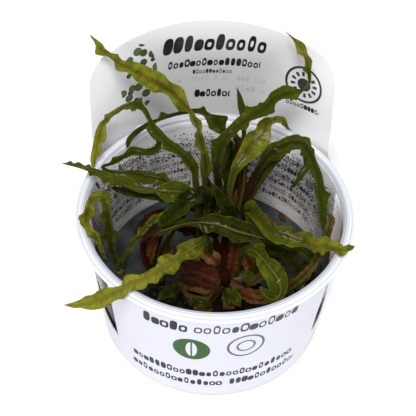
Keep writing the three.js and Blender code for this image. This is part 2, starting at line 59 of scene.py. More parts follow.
camera.matrix_world = Matrix.Translation(camera_place) @ camera_turn
bpy.context.scene.collection.objects.link(camera)
bpy.context.scene.camera = camera

# Studio
# A white floor under a white sky, with a broad soft box above and in front of the cup and one at each side.
FLOOR_HALF = 3.0
bpy.context.scene.view_settings.view_transform = "Standard"


def new_material(name, **values):
    """A material with one Principled BSDF, whose plain socket values are given by name."""
    material = bpy.data.materials.new(name)
    material.use_nodes = True
    tree = material.node_tree
    shader = tree.nodes["Principled BSDF"]
    for socket, value in values.items():
        shader.inputs[socket.replace("_", " ")].default_value = value
    return material, tree, shader


floor_material, _, _ = new_material("studio_floor", Base_Color=(0.95, 0.95, 0.95, 1), Roughness=0.9)
floor_mesh = bpy.data.meshes.new("floor")
floor_corners = [(x * FLOOR_HALF, y * FLOOR_HALF, 0.0) for x, y in ((-1, -1), (1, -1), (1, 1), (-1, 1))]
floor_mesh.from_pydata(floor_corners, [], [(0, 1, 2, 3)])
floor_mesh.materials.append(floor_material)
floor = bpy.data.objects.new("floor", floor_mesh)
bpy.context.scene.collection.objects.link(floor)

world = bpy.data.worlds.new("studio")
world.use_nodes = True
world.node_tree.nodes["Background"].inputs["Color"].default_value = (0.98, 0.98, 1.0, 1)
world.node_tree.nodes["Background"].inputs["Strength"].default_value = 0.3
bpy.context.scene.world = world


def soft_box(name, place, aim, width, height, power):
    """A rectangular lamp at a place, facing an aim point."""
    data = bpy.data.lights.new(name, "AREA")
    data.shape = "RECTANGLE"
    data.size = width
    data.size_y = height
    data.energy = power
    lamp = bpy.data.objects.new(name, data)
    facing = (Vector(aim) - Vector(place)).to_track_quat("-Z", "Y")
    lamp.matrix_world = Matrix.Translation(place) @ facing.to_matrix().to_4x4()
    bpy.context.scene.collection.objects.link(lamp)


soft_box("top_box", (-0.08, -0.8, 1.4), (0, 0, 0.05), 0.5, 0.4, 28.0)
soft_box("left_box", (-0.75, -0.3, 0.3), (0, 0, 0.06), 0.3, 0.3, 1.3)
soft_box("right_box", (0.8, -0.25, 0.42), (0, 0, 0.04), 0.3, 0.3, 2.0)

# Cup
# A thin clear tapered cup, thermoformed from one sheet, with a flat rim that has fine steps at its inner edge for
# the lid. It stands on its flat underside.
MM = 0.001
RIM_RADIUS = 50
RIM_Z = 57.2
RIM_THICKNESS = 1
RIM_TOP = RIM_Z + 0.6
BASE_RADIUS = 41.2
BASE_ROUNDING = 1.2
WALL_TAPER = 0.0987
WALL = 0.9
CUP_FLOOR = 1.2
MILKY_BELOW_RIM = 1.2
CUP_CORNER = 0.25
CUP_SEGMENTS = 480


def wall_outer(z):
    """The wall's outer radius at a height: a straight taper."""
    return BASE_RADIUS + WALL_TAPER * z


def wall_inner(z):
    """The wall's inner radius at a height."""
    return wall_outer(z) - WALL


def rounded(corners, radius, steps=5):
    """A line of (r, z) corners with each inner corner cut by a small curve: a quadratic Bezier whose ends lie the
    radius away from the corner along both edges, or a third of the edge where that is shorter."""
    corners = np.array(corners, float)
    line = [corners[:1]]
    for before, here, after in zip(corners, corners[1:], corners[2:]):
        back, on = before - here, after - here
        start = here + back * min(1 / 3, radius / np.linalg.norm(back))
        end = here + on * min(1 / 3, radius / np.linalg.norm(on))
        t = np.linspace(0, 1, steps)[:, None]
        line.append((1 - t) ** 2 * start + 2 * t * (1 - t) * here + t**2 * end)
    line.append(corners[-1:])
    return np.concatenate(line)


def capped_faces(rings, columns):
    """Faces of a closed tube of rings of points, stored ring by ring: quads between neighbouring rings, and a fan
    from the first and from the last ring to a pole each. The poles follow the rings in the list of points."""
    k = np.arange(columns)
    k2 = (k + 1) % columns
    here = columns * np.arange(rings - 1)[:, None]
    beyond = here + columns
    last = (rings - 1) * columns
    pole = np.full(columns, rings * columns)
    faces = np.stack([here + k, here + k2, beyond + k2, beyond + k], -1).reshape(-1, 4).tolist()
    faces += np.stack([pole, k2, k], -1).tolist()
    return faces + np.stack([pole + 1, last + k, last + k2], -1).tolist()


def turned(line, segments):
    """A line of (r, z) points turned round the axis. Its two ends lie on the axis and are one pole each."""
    line = np.array(line, float)
    body = line[1:-1]
    angle = np.linspace(0, 2 * np.pi, segments, endpoint=False)
    radius, _ = np.meshgrid(body[:, 0], angle, indexing="ij")
    points = np.stack([radius * np.cos(angle), radius * np.sin(angle), np.repeat(body[:, 1:], segments, 1)], -1)
    points = np.concatenate([points.reshape(-1, 3), [[0, 0, line[0, 1]], [0, 0, line[-1, 1]]]])
    return points, capped_faces(len(body), segments)


def add_piece(name, points, faces, material, slot, *nodes):
    """A smooth mesh of points in millimetres that rides on the body and stands for the nodes."""
    mesh = bpy.data.meshes.new(name)
    mesh.from_pydata((np.asarray(points) * MM).tolist(), [], faces)
    mesh.validate()
    mesh.shade_smooth()
    mesh.materials.append(material)
    piece = bpy.data.objects.new(name, mesh)
    bpy.context.scene.collection.objects.link(piece)
    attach(piece, "root")
    if nodes:
        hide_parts(*nodes)
    return piece


rim_low = RIM_Z - RIM_THICKNESS
inner_edge = wall_inner(RIM_TOP)
cup_line = [
    (0, 0),
    (BASE_RADIUS - BASE_ROUNDING, 0),
    (BASE_RADIUS, BASE_ROUNDING),
    (wall_outer(rim_low - 2), rim_low - 2),
    (wall_outer(rim_low), rim_low),
    (RIM_RADIUS - 0.3, rim_low - 0.2),
    (RIM_RADIUS, rim_low + 0.1),
    (RIM_RADIUS, RIM_Z - 0.1),
    (RIM_RADIUS - 0.5, RIM_Z),
    (RIM_RADIUS - 1.6, RIM_Z - 0.1),
    (RIM_RADIUS - 2.2, RIM_Z + 0.15),
    (inner_edge + 1.9, RIM_TOP),
    (inner_edge + 1.4, RIM_TOP - 0.25),
    (inner_edge + 1.0, RIM_TOP),
    (inner_edge + 0.6, RIM_TOP - 0.2),
    (inner_edge + 0.2, RIM_TOP - 0.1),
    (wall_inner(RIM_TOP - 1.2), RIM_TOP - 1.2),
    (wall_inner(RIM_TOP - 2.6) + 0.25, RIM_TOP - 2.6),
    (wall_inner(RIM_TOP - 4), RIM_TOP - 4),
    (wall_inner(CUP_FLOOR + 1), CUP_FLOOR + 1),
    (wall_inner(0) - 1, CUP_FLOOR),
    (0, CUP_FLOOR),
]


class Number:
    """A number that a node gives. A sign between two of them, or between one and a plain number, places one Math
    node. A comparison is 1 where it holds and 0 elsewhere."""

    def __init__(self, socket):
        self.socket = socket

    def __add__(self, other):
        return maths("ADD", self, other)

    def __sub__(self, other):
        return maths("SUBTRACT", self, other)

    def __rsub__(self, other):
        return maths("SUBTRACT", other, self)

    def __mul__(self, other):
        return maths("MULTIPLY", self, other)

    def __truediv__(self, other):
        return maths("DIVIDE", self, other)

    def __pow__(self, other):
        return maths("POWER", self, other)

    def __abs__(self):
        return maths("ABSOLUTE", self)

    def __gt__(self, other):
        return maths("GREATER_THAN", self, other)

    def __lt__(self, other):
        return maths("LESS_THAN", self, other)


def feed(socket, value):
    """Sets a socket to a plain value, or links to it a number or another node's output."""
    if isinstance(value, Number):
        value = value.socket
    if isinstance(value, bpy.types.NodeSocket):
        socket.id_data.links.new(value, socket)
    else:
        socket.default_value = value


def maths(operation, *values):
    """One Math node on numbers, at least one of which a node gives."""
    tree = next(value for value in values if isinstance(value, Number)).socket.id_data
    node = tree.nodes.new("ShaderNodeMath")
    node.operation = operation
    for socket, value in zip(node.inputs, values):
        feed(socket, value)
    return Number(node.outputs[0])


def rescale(value, low, high, at_low=0.0, at_high=1.0, kind="SMOOTHSTEP"):
    """A Map Range node: a number's place between low and high as a number between two others."""
    node = value.socket.id_data.nodes.new("ShaderNodeMapRange")
    node.interpolation_type = kind
    for socket, number in zip(node.inputs, (value, low, high, at_low, at_high)):
        feed(socket, number)
    return Number(node.outputs[0])


def mix_colours(share, first, second, blend="MIX"):
    """A Mix node: the first colour goes over into the second, or is blended with it, by a number from 0 to 1."""
    node = share.socket.id_data.nodes.new("ShaderNodeMix")
    node.data_type = "RGBA"
    node.blend_type = blend
    for socket, value in ((0, share), (6, first), (7, second)):
        feed(node.inputs[socket], value)
    return node.outputs[2]


def object_place(tree):
    """Where a point lies in its piece's own frame, in metres."""
    return tree.nodes.new("ShaderNodeTexCoord").outputs["Object"]


def apart(vector):
    """A vector's X and Y as two numbers."""
    node = vector.id_data.nodes.new("ShaderNodeSeparateXYZ")
    feed(node.inputs[0], vector)
    return Number(node.outputs["X"]), Number(node.outputs["Y"])


def cup_plastic(name, passed, **values):
    """A thin plastic. Light goes straight through so thin a wall, so shadow rays pass it with a loss."""
    material, tree, shader = new_material(name, **values)
    see_through = tree.nodes.new("ShaderNodeBsdfTransparent")
    see_through.inputs["Color"].default_value = passed
    light_path = tree.nodes.new("ShaderNodeLightPath")
    either = tree.nodes.new("ShaderNodeMixShader")
    sources = (light_path.outputs["Is Shadow Ray"], shader.outputs[0], see_through.outputs[0])
    for socket, source in zip(either.inputs, sources):
        feed(socket, source)
    feed(tree.nodes["Material Output"].inputs["Surface"], either.outputs[0])
    return material, tree, shader


clear_plastic, tree, shader = cup_plastic(
    "clear_plastic", (0.93, 0.94, 0.96, 1), Roughness=0.04, IOR=1.04, Transmission_Weight=1.0
)
# Seen edge on, the wall is painted darker: painted shade for the shadowed floor behind the cup that shows through it.
grazing = tree.nodes.new("ShaderNodeLayerWeight")
edge_on = rescale(Number(grazing.outputs["Facing"]), 0.5, 0.78)
painted_edge_shade = mix_colours(edge_on, (0.97, 0.98, 1.0, 1), (0.16, 0.12, 0.09, 1))
feed(shader.inputs["Base Color"], painted_edge_shade)
# The rim is milky, as stretched plastic is. Its band of steps is painted a darker grey-blue: painted shade for the
# dark inside of the cup seen through it. Fine grey lines of painted shade follow its steps, each at a distance in
# millimetres from the axis and with a strength.
milky_plastic, tree, shader = cup_plastic("milky_plastic", (0.75, 0.77, 0.82, 1), Roughness=0.3, IOR=1.4)
x, y = apart(object_place(tree))
from_axis = maths("SQRT", x * x + y * y)
steps = rescale(from_axis, (inner_edge + 1.0) * MM, (inner_edge + 1.8) * MM)
rim_colour_and_shade = mix_colours(steps, (0.5, 0.53, 0.58, 1), (0.68, 0.69, 0.73, 1))
inner_face = rescale(from_axis, (inner_edge + 0.02) * MM, (inner_edge + 0.2) * MM, 1.0, 0.0)
rim_colour_and_shade = mix_colours(inner_face, rim_colour_and_shade, (0.95, 0.95, 0.97, 1))
rim_shade_lines = (
    (inner_edge + 0.35, 0.55), (inner_edge + 0.95, 0.5), (inner_edge + 1.8, 0.22), (RIM_RADIUS - 0.9, 0.25),
)
# Each line is painted shade along a step of the rim.
for line_radius, strength in rim_shade_lines:
    line = rescale(abs(from_axis - line_radius * MM), 0.1 * MM, 0.26 * MM, strength, 0.0)
    rim_colour_and_shade = mix_colours(line, rim_colour_and_shade, (0.16, 0.18, 0.22, 1))
feed(shader.inputs["Base Color"], rim_colour_and_shade)
cup_points, cup_faces = turned(rounded(cup_line, CUP_CORNER), CUP_SEGMENTS)
cup = add_piece("clear_cup", cup_points, cup_faces, clear_plastic, "clear_plastic", "cup")
cup.data.materials.append(milky_plastic)
milky_above = rim_low - MILKY_BELOW_RIM
in_rim = [int(min(cup_points[corner][2] for corner in corners) > milky_above) for corners in cup_faces]
cup.data.polygons.foreach_set("material_index", in_rim)

# Label
# One sheet of white plastic, die-cut and wrapped round the cup under its rim: a front panel, a low band all the way
# round and a tall back tab, whose slot the rim pokes through. It is printed on both faces.
LABEL_GAP = 0.3
LABEL_THICKNESS = 0.39
LABEL_TURN = math.radians(4.6)
HALF_TURN = math.pi * wall_outer(RIM_Z)
LABEL_FOOT = 1.2
FRONT_TOP = 55.8
FRONT_HALF_ANGLE = math.radians(55.5)
FRONT_EDGE = HALF_TURN - FRONT_HALF_ANGLE * wall_outer(RIM_Z)
NOTCH_Z = 15.5
NOTCH_CURVE = 1.6
SLOT_LOW = 54.2
SLOT_HIGH = 58.6
SLOT_HALF_LENGTH = 30
TAB_HALF_WIDTH = 49.6
TAB_TOP = 99.6
TAB_ARCH = 6.2
TAB_CORNER = 8
TAB_RADIUS = 62
TAB_BACK_Y = 48.6
TAB_LEAN = math.tan(math.radians(7))
TAB_BLEND_LOW = 34
TAB_BLEND_NEAR = 60
TAB_BLEND_FAR = 85
BAND_ROWS = 8
PANEL_ROWS = 24
SLOT_ROWS = 3
SAME_PLACE = 1e-3
NORMAL_STEP = 0.1
SHEET_UV_HEIGHT = 100.0
SHARP_ANGLE = math.radians(50)


def smooth_share(value, low, high):
    """0 below low and 1 above high, with a smooth cubic between them."""
    t = np.clip((value - low) / (high - low), 0, 1)
    return t * t * (3 - 2 * t)


def label_points(arc, z):
    """The sheet's middle at arc lengths from its back centre line and heights: a cone that hugs the cup's wall, going
    over into a flatter cylinder that leans back for the tab."""
    hug = wall_outer(z) + LABEL_GAP + LABEL_THICKNESS / 2
    hug_angle = arc / wall_outer(RIM_Z)
    tab_angle = arc / TAB_RADIUS
    tab_centre = TAB_BACK_Y - TAB_RADIUS + (z - RIM_Z) * TAB_LEAN
    near_back = 1 - smooth_share(np.abs(arc), TAB_BLEND_NEAR, TAB_BLEND_FAR)
    share = smooth_share(z, TAB_BLEND_LOW, SLOT_LOW) * near_back
    x = hug * np.sin(hug_angle) * (1 - share) + TAB_RADIUS * np.sin(tab_angle) * share
    y = hug * np.cos(hug_angle) * (1 - share) + (tab_centre + TAB_RADIUS * np.cos(tab_angle)) * share
    cos, sin = math.cos(LABEL_TURN), math.sin(LABEL_TURN)
    return np.stack([x * cos - y * sin, x * sin + y * cos, z], -1)


def tab_top(arc):
    """The tab's upper edge: a shallow arch with a quarter circle at each corner."""
    arch = TAB_TOP - TAB_ARCH * (np.abs(arc) / TAB_HALF_WIDTH) ** 2
    past = np.clip(np.abs(arc) - (TAB_HALF_WIDTH - TAB_CORNER), 0, TAB_CORNER)
    return arch - TAB_CORNER + np.sqrt(TAB_CORNER**2 - past**2)


def notch_top(arc):
    """The cut's lower edge: level at the front panel and rising in a curve to the tab's side."""
    rise = np.clip((FRONT_EDGE - np.abs(arc)) / (FRONT_EDGE - TAB_HALF_WIDTH), 0, 1)
    return NOTCH_Z + (SLOT_LOW - NOTCH_Z) * rise**NOTCH_CURVE


def patch(arcs, low, high, rows):
    """Corners of quads, as (arc, z), on a strip of the sheet between two edges that depend on the arc length. They
    run from the back's middle to the right, or to the left with their order turned round."""
    grid_arc, share = np.meshgrid(arcs, np.linspace(0, 1, rows + 1), indexing="ij")
    bottom = (low(arcs) if callable(low) else np.full_like(arcs, low))[:, None]
    top = (high(arcs) if callable(high) else np.full_like(arcs, high))[:, None]
    grid = np.stack([grid_arc, bottom + (top - bottom) * share], -1)
    corners = np.stack([grid[:-1, :-1], grid[1:, :-1], grid[1:, 1:], grid[:-1, 1:]], 2).reshape(-1, 4, 2)
    return corners if arcs[-1] > arcs[0] else corners[:, ::-1]


SLOT_MIDDLE = (SLOT_LOW + SLOT_HIGH) / 2
SLOT_ROUND = (SLOT_HIGH - SLOT_LOW) / 2
quarter_turn = np.sin(np.linspace(0, np.pi / 2, 9))
label_runs = {
    "slot": np.linspace(0, SLOT_HALF_LENGTH - SLOT_ROUND, 25),
    "slot_end": SLOT_HALF_LENGTH - SLOT_ROUND + SLOT_ROUND * quarter_turn,
    "shoulder": np.linspace(SLOT_HALF_LENGTH, TAB_HALF_WIDTH - TAB_CORNER, 11),
    "corner": TAB_HALF_WIDTH - TAB_CORNER + TAB_CORNER * quarter_turn,
    "notch": np.linspace(TAB_HALF_WIDTH, FRONT_EDGE, 45),
    "front": np.linspace(FRONT_EDGE, HALF_TURN, 49),
}


def slot_half(arc):
    """Half height of the slot over its round end, a half circle."""
    past = (np.abs(arc) - SLOT_HALF_LENGTH) / SLOT_ROUND + 1
    return SLOT_ROUND * np.sqrt(np.clip(1 - past**2, 0, 1))


cells = []
for side in (-1, 1):
    for place, arcs in label_runs.items():
        arcs = side * arcs
        cells.append(patch(arcs, LABEL_FOOT, NOTCH_Z, BAND_ROWS))
        if place in ("front", "notch"):
            top = FRONT_TOP if place == "front" else notch_top
            cells.append(patch(arcs, NOTCH_Z, top, PANEL_ROWS))
            continue
        cells.append(patch(arcs, NOTCH_Z, SLOT_LOW, PANEL_ROWS))
        cells.append(patch(arcs, SLOT_HIGH, tab_top, PANEL_ROWS))
        if place == "slot_end":
            cells.append(patch(arcs, SLOT_LOW, lambda arc: SLOT_MIDDLE - slot_half(arc), SLOT_ROWS))
            cells.append(patch(arcs, lambda arc: SLOT_MIDDLE + slot_half(arc), SLOT_HIGH, SLOT_ROWS))
        elif place != "slot":
            cells.append(patch(arcs, SLOT_LOW, SLOT_MIDDLE, SLOT_ROWS))
            cells.append(patch(arcs, SLOT_MIDDLE, SLOT_HIGH, SLOT_ROWS))
cells = np.concatenate(cells)


def sheet(cells, points_of, thickness):
    """A thick sheet from quads of (arc, z) corners. Corners at one place become one point, whose inner and outer
    copies lie half the thickness away along the sheet's normal, the cross product of its two directions. Each free
    edge, whose turned twin no quad has, gets a wall. Returns points, faces and the (arc, z) of every face corner."""
    wrapped = cells.reshape(-1, 2).copy()
    wrapped[wrapped[:, 0] < SAME_PLACE - HALF_TURN, 0] = HALF_TURN
    places, ids = np.unique(np.round(wrapped / SAME_PLACE).astype(int), axis=0, return_inverse=True)
    ids = ids.reshape(-1, 4)
    arc, z = places[:, 0] * SAME_PLACE, places[:, 1] * SAME_PLACE
    here = points_of(arc, z)
    inward = np.cross(points_of(arc + NORMAL_STEP, z) - here, points_of(arc, z + NORMAL_STEP) - here)
    inward *= thickness / 2 / np.linalg.norm(inward, axis=1, keepdims=True)
    count = len(here)
    no_start, no_end = ids[:, 0] == ids[:, 3], ids[:, 1] == ids[:, 2]
    kinds = [(~no_start & ~no_end, [0, 1, 2, 3]), (no_start & ~no_end, [0, 1, 2]), (no_end & ~no_start, [0, 1, 3])]
    faces, corners, edges, edge_places = [], [], [], []
    for chosen, keep in kinds:
        rows, at = ids[chosen][:, keep], cells[chosen][:, keep]
        faces += rows.tolist() + (rows[:, ::-1] + count).tolist()
        corners += [at.reshape(-1, 2), at[:, ::-1].reshape(-1, 2)]
        edges.append(np.stack([rows, np.roll(rows, -1, axis=1)], -1).reshape(-1, 2))
        edge_places.append(np.stack([at, np.roll(at, -1, axis=1)], 2).reshape(-1, 2, 2))
    edges, edge_places = np.concatenate(edges), np.concatenate(edge_places)
    free = ~np.isin(edges[:, 0] * count + edges[:, 1], edges[:, 1] * count + edges[:, 0])
    a, b = edges[free].T
    at_a, at_b = edge_places[free, 0], edge_places[free, 1]
    faces += np.stack([b, a, a + count, b + count], -1).tolist()
    corners.append(np.stack([at_b, at_a, at_a, at_b], 1).reshape(-1, 2))
    return np.concatenate([here + inward, here - inward]), faces, np.concatenate(corners)


def new_group(name, inputs, outputs):
    """A shader node group of numbers: its inputs with their plain values, and its outputs. Returns the group's tree,
    the numbers that come in and the sockets that go out."""
    tree = bpy.data.node_groups.new(name, "ShaderNodeTree")
    for label, value in inputs.items():
        tree.interface.new_socket(label, in_out="INPUT", socket_type="NodeSocketFloat").default_value = value
    for label in outputs:
        tree.interface.new_socket(label, in_out="OUTPUT", socket_type="NodeSocketFloat")
    entry = tree.nodes.new("NodeGroupInput").outputs
    return tree, {label: Number(entry[label]) for label in inputs}, tree.nodes.new("NodeGroupOutput").inputs


def use_group(tree, group, **values):
    """Places a node group with values by input name, and returns the numbers that it gives, by name."""
    node = tree.nodes.new("ShaderNodeGroup")
    node.node_tree = group
    for label, value in values.items():
        feed(node.inputs[label.replace("_", " ")], value)
    return {socket.name: Number(socket) for socket in node.outputs}


def noise(place, scale, detail, roughness):
    """A Noise Texture's plain value at a place."""
    node = place.id_data.nodes.new("ShaderNodeTexNoise")
    for label, value in (("Vector", place), ("Scale", scale), ("Detail", detail), ("Roughness", roughness)):
        feed(node.inputs[label], value)
    return Number(node.outputs["Fac"])


def by_chance(number, seed):
    """A White Noise Texture's value for a whole number."""
    node = number.socket.id_data.nodes.new("ShaderNodeTexWhiteNoise")
    node.noise_dimensions = "1D"
    feed(node.inputs["W"], number + seed)
    return Number(node.outputs["Value"])


# Rows of small printed marks, each a superellipse of chance width and one of two heights, filled or hollow, with gaps
# as between words.
print_rows, here, out = new_group(
    "print_rows",
    {"Across": 0.0, "Up": 0.0, "From": 0.0, "To": 1.0, "Foot": 0.0, "Slope": 0.0, "Rows": 1.0, "Row Pitch": 1.0,
     "Height": 1.0, "Pitch": 1.0, "Fill": 0.8, "Power": 3.0, "Gap": 0.15, "Lean": 0.0, "Seed": 0.0, "Hole": 0.0},
    ["Mask"],
)
level = here["Up"] - here["Foot"] - here["Slope"] * here["Across"]
row_place = level / here["Row Pitch"]
row = maths("FLOOR", row_place)
rise = maths("FRACT", row_place) * here["Row Pitch"] / here["Height"]
leaned = here["Across"] - rise * here["Lean"]
cell_place = (leaned - here["From"]) / here["Pitch"]
number = maths("MULTIPLY_ADD", row, 57.0, maths("FLOOR", cell_place)) + here["Seed"]
width = here["Fill"] * rescale(by_chance(number, 0.3), 0.0, 1.0, 0.34, 0.5, "LINEAR")
tall = by_chance(number, 400.7) > 0.62
half_height = rescale(tall, 0.0, 1.0, 0.36, 0.5, "LINEAR")
off_middle = abs(maths("FRACT", cell_place) - 0.5)
off_centre = abs(rise - half_height)
reach = (off_middle / width) ** here["Power"] + (off_centre / half_height) ** here["Power"]
hollow = here["Hole"] * (by_chance(number, 250.9) > 0.4)
mark = rescale(reach, 1.2, 0.9) * (reach > hollow)
kept = by_chance(number, 911.1) > here["Gap"]
# In a block of several rows, each ends short by chance.
row_end = here["To"] - by_chance(row, 77.7) * (here["Pitch"] * (here["Rows"] > 1.5))
in_row = (leaned > here["From"]) * (leaned < row_end)
in_rows = (row > -0.5) * (row < here["Rows"] - 0.5)
feed(out["Mask"], mark * kept * (in_row * in_rows))

# A round printed mark: a filled disc and a ring of the same size, with the angle and distance from their middle.
print_disc, here, out = new_group(
    "print_disc",
    {"Across": 0.0, "Up": 0.0, "Middle Across": 0.0, "Middle Up": 0.0, "Radius": 1.0, "Line": 0.5},
    ["Disc", "Ring", "Angle", "Distance"],
)
dx = here["Across"] - here["Middle Across"]
dz = here["Up"] - here["Middle Up"]
distance = maths("SQRT", dx * dx + dz * dz)
feed(out["Disc"], distance < here["Radius"])
feed(out["Ring"], abs(distance - here["Radius"]) < here["Line"] * 0.5)
feed(out["Angle"], maths("ARCTAN2", dz, dx))
feed(out["Distance"], distance)

SHEET_WHITE = (0.6, 0.605, 0.67, 1)
SHEET_INSIDE = (0.88, 0.88, 0.89, 1)
SHEET_INSIDE_SHADED_MIDDLE = (0.41, 0.405, 0.4, 1)
SHEET_WALL_SHADE_HIGH = (0.58, 0.56, 0.53, 1)
SHEET_WALL_SHADE = (0.34, 0.315, 0.285, 1)
SHEET_WALL_LIT_LEFT = (0.64, 0.62, 0.58, 1)
SHEET_DROP_SHADE = (0.07, 0.06, 0.05, 1)
SHEET_MARKED = (0.6, 0.62, 0.66, 1)
INK_DARK = (0.008, 0.008, 0.01, 1)
INK_GREY = (0.12, 0.12, 0.14, 1)
INK_GREEN = (0.016, 0.085, 0.006, 1)
PAD_DARK = (0.03, 0.055, 0.02, 1)
PAD_LIGHT = (0.11, 0.15, 0.05, 1)
PAD_EDGE = (0.02, 0.04, 0.02, 1)
# Where the round prints are, as (across, up) in millimetres on their face of the sheet, and their sizes. The
# cluster's across counts times its slimness.
PAD_PITCH = 3.7
CLUSTER = (-53.0, 80.0)
CLUSTER_HALF_HEIGHT = 14.5
CLUSTER_SLIMNESS = 1.9
SUN = (36.3, 79.6)
SUN_RADIUS = 7.2
SUN_RAYS = 12.0
SUN_RAY_STARTS = 3.6
SUN_RAY_ENDS = 5.4
SUN_CORE = 2.7
SEAL = (-10.2, 33.8)
SEAL_RADIUS = 6.9
SEAL_LEAF_HALF_LENGTH = 4.8
SEAL_LEAF_HALF_WIDTH = 2.1
SEAL_VEIN_HALF_WIDTH = 0.3
DIAL = (9.6, 35.8)
DIAL_RADIUS = 6.6
DIAL_INNER_RADIUS = 3.2


def sheet_material(name):
    """White plastic for one face of the sheet, with the arc length from the back's middle and the height."""
    material, tree, shader = new_material(name, IOR=1.24)
    uv = tree.nodes.new("ShaderNodeUVMap")
    uv.uv_map = "sheet"
    share_round, share_up = apart(uv.outputs[0])
    arc = rescale(share_round, 0.0, 1.0, -HALF_TURN, HALF_TURN, "LINEAR")
    return material, tree, shader, arc, share_up * SHEET_UV_HEIGHT


def print_over(tree, colour, across, up, rows):
    """The colour with rows of marks printed over it, each as (from, to, foot, slope, rows, row pitch, height, pitch,
    fill, power, gap, lean, hole, seed, ink, strength)."""
    names = ("From", "To", "Foot", "Slope", "Rows", "Row_Pitch", "Height", "Pitch", "Fill", "Power", "Gap", "Lean",
             "Hole", "Seed")
    for row in rows:
        values = dict(zip(names, (float(value) for value in row)))
        mask = use_group(tree, print_rows, Across=across, Up=up, **values)["Mask"]
        colour = mix_colours(mask * row[-1], colour, row[-2])
    return colour


def round_print(tree, across, up, middle, radius, line=0.5):
    """A round printed mark about a middle, as (across, up)."""
    return use_group(tree, print_disc, Across=across, Up=up, Middle_Across=middle[0], Middle_Up=middle[1],
                     Radius=radius, Line=line)


def finish_sheet(tree, shader, colour):
    """Faint handling marks: a slow mottle in the gloss and hardly any in the colour."""
    smear = noise(object_place(tree), 60.0, 4.0, 0.6)
    colour = mix_colours(rescale(smear, 0.45, 0.75, 0.0, 0.05), colour, SHEET_MARKED)
    feed(shader.inputs["Base Color"], colour)
    feed(shader.inputs["Roughness"], rescale(smear, 0.3, 0.7, 0.3, 0.44))


# On the inside, rows of marks on the tab and on the cup's wall. Behind the cup's wall the sheet is painted darker as
# shade, darker still low down and with painted light on its left, and a net of painted shade for the condensation
# drops lies mostly in its lower part.
inner_print = [
    (-18.5, 20.5, 87.2, 0.03, 1, 9, 6.8, 3.9, 0.96, 2.6, 0.0, 1.1, 0.09, 3, INK_DARK, 1),
    (-16.5, 18.5, 80.6, 0.02, 1, 4, 3.3, 2.15, 0.98, 2.6, 0.0, 0.4, 0.12, 11, INK_DARK, 1),
    (-6.8, 8.2, 77.2, 0.02, 1, 3, 1.9, 1.25, 0.95, 2.6, 0.0, 0, 0.2, 23, INK_DARK, 0.95),
    (-14, 21, 74, 0.02, 1, 3, 2.3, 1.7, 0.95, 3.0, 0.1, 0, 0.2, 31, INK_GREY, 0.22),
    (9.5, 21, 69.6, 0.02, 1, 3, 2.6, 2.0, 0.95, 3.0, 0.05, 0, 0.2, 37, INK_GREY, 0.3),
    (-6, 7.6, 66.6, 0.02, 1, 4, 3.4, 2.1, 1.0, 2.8, 0.0, 0.2, 0.1, 47, INK_DARK, 1),
    (29.5, 43.5, 69, 0.0, 1, 3, 2.1, 1.5, 1.0, 2.4, 0.0, 0, 0.2, 53, INK_DARK, 1),
    (-52, -6, 24, 0.0, 6, 3.9, 2.4, 1.6, 0.95, 2.8, 0.14, 0, 0.2, 61, INK_DARK, 0.95),
    (8, 50, 25, 0.0, 6, 3.7, 2.4, 1.6, 0.95, 2.8, 0.14, 0, 0.2, 71, INK_DARK, 0.95),
]
inside, tree, shader, arc, up = sheet_material("label_inside")
# The tab's inner face is painted darker in its middle, less so towards its top: painted shade.
off_back = maths("MAXIMUM", rescale(abs(arc), 12.0, 56.0), rescale(up, 80.0, 104.0, 0.0, 0.6))
colour = mix_colours(off_back, SHEET_INSIDE_SHADED_MIDDLE, SHEET_INSIDE)
# Painted shade behind the cup's wall, darker low down, and painted light on its left side.
shaded_wall_colour = mix_colours(rescale(up, 38.0, 52.0), SHEET_WALL_SHADE, SHEET_WALL_SHADE_HIGH)
shaded_wall_colour = mix_colours(rescale(arc, -70.0, -40.0, 0.6, 0.0), shaded_wall_colour, SHEET_WALL_LIT_LEFT)
# A net of painted shade for the condensation drops, strongest low down.
drop_cells = tree.nodes.new("ShaderNodeTexVoronoi")
drop_cells.feature = "DISTANCE_TO_EDGE"
place = object_place(tree)
feed(drop_cells.inputs["Vector"], place)
drop_cells.inputs["Scale"].default_value = 900.0
drop_shade_edges = rescale(Number(drop_cells.outputs["Distance"]), 0.02, 0.14, 0.8, 0.0)
drop_shade_patches = rescale(noise(place, 90.0, 3.0, 0.6), 0.42, 0.6, 0.1, 1.0)
drop_shade_share = drop_shade_edges * drop_shade_patches * rescale(up, 43.0, 50.0, 1.0, 0.1)
shaded_wall_colour = mix_colours(drop_shade_share, shaded_wall_colour, SHEET_DROP_SHADE)
in_cup = rescale(up, 54.0, 57.0, 1.0, 0.0)
colour = mix_colours(in_cup, colour, shaded_wall_colour)
colour = print_over(tree, colour, arc, up, inner_print)

# Left of the tab's print, a cluster of round floating leaves. Right of it, a sun in a ring.
pads = tree.nodes.new("ShaderNodeTexVoronoi")
pads.inputs["Randomness"].default_value = 0.8
pads.inputs["Scale"].default_value = 1.0
pad_place = tree.nodes.new("ShaderNodeCombineXYZ")
feed(pad_place.inputs["X"], arc / PAD_PITCH)
feed(pad_place.inputs["Y"], up / PAD_PITCH)
feed(pads.inputs["Vector"], pad_place.outputs[0])
from_pad = Number(pads.outputs["Distance"])
pad_tone = tree.nodes.new("ShaderNodeSeparateColor")
feed(pad_tone.inputs[0], pads.outputs["Color"])
pad_green = mix_colours(Number(pad_tone.outputs[0]), PAD_DARK, PAD_LIGHT)
pad_green = mix_colours(rescale(from_pad, 0.25, 0.45) * 0.5, pad_green, PAD_EDGE)
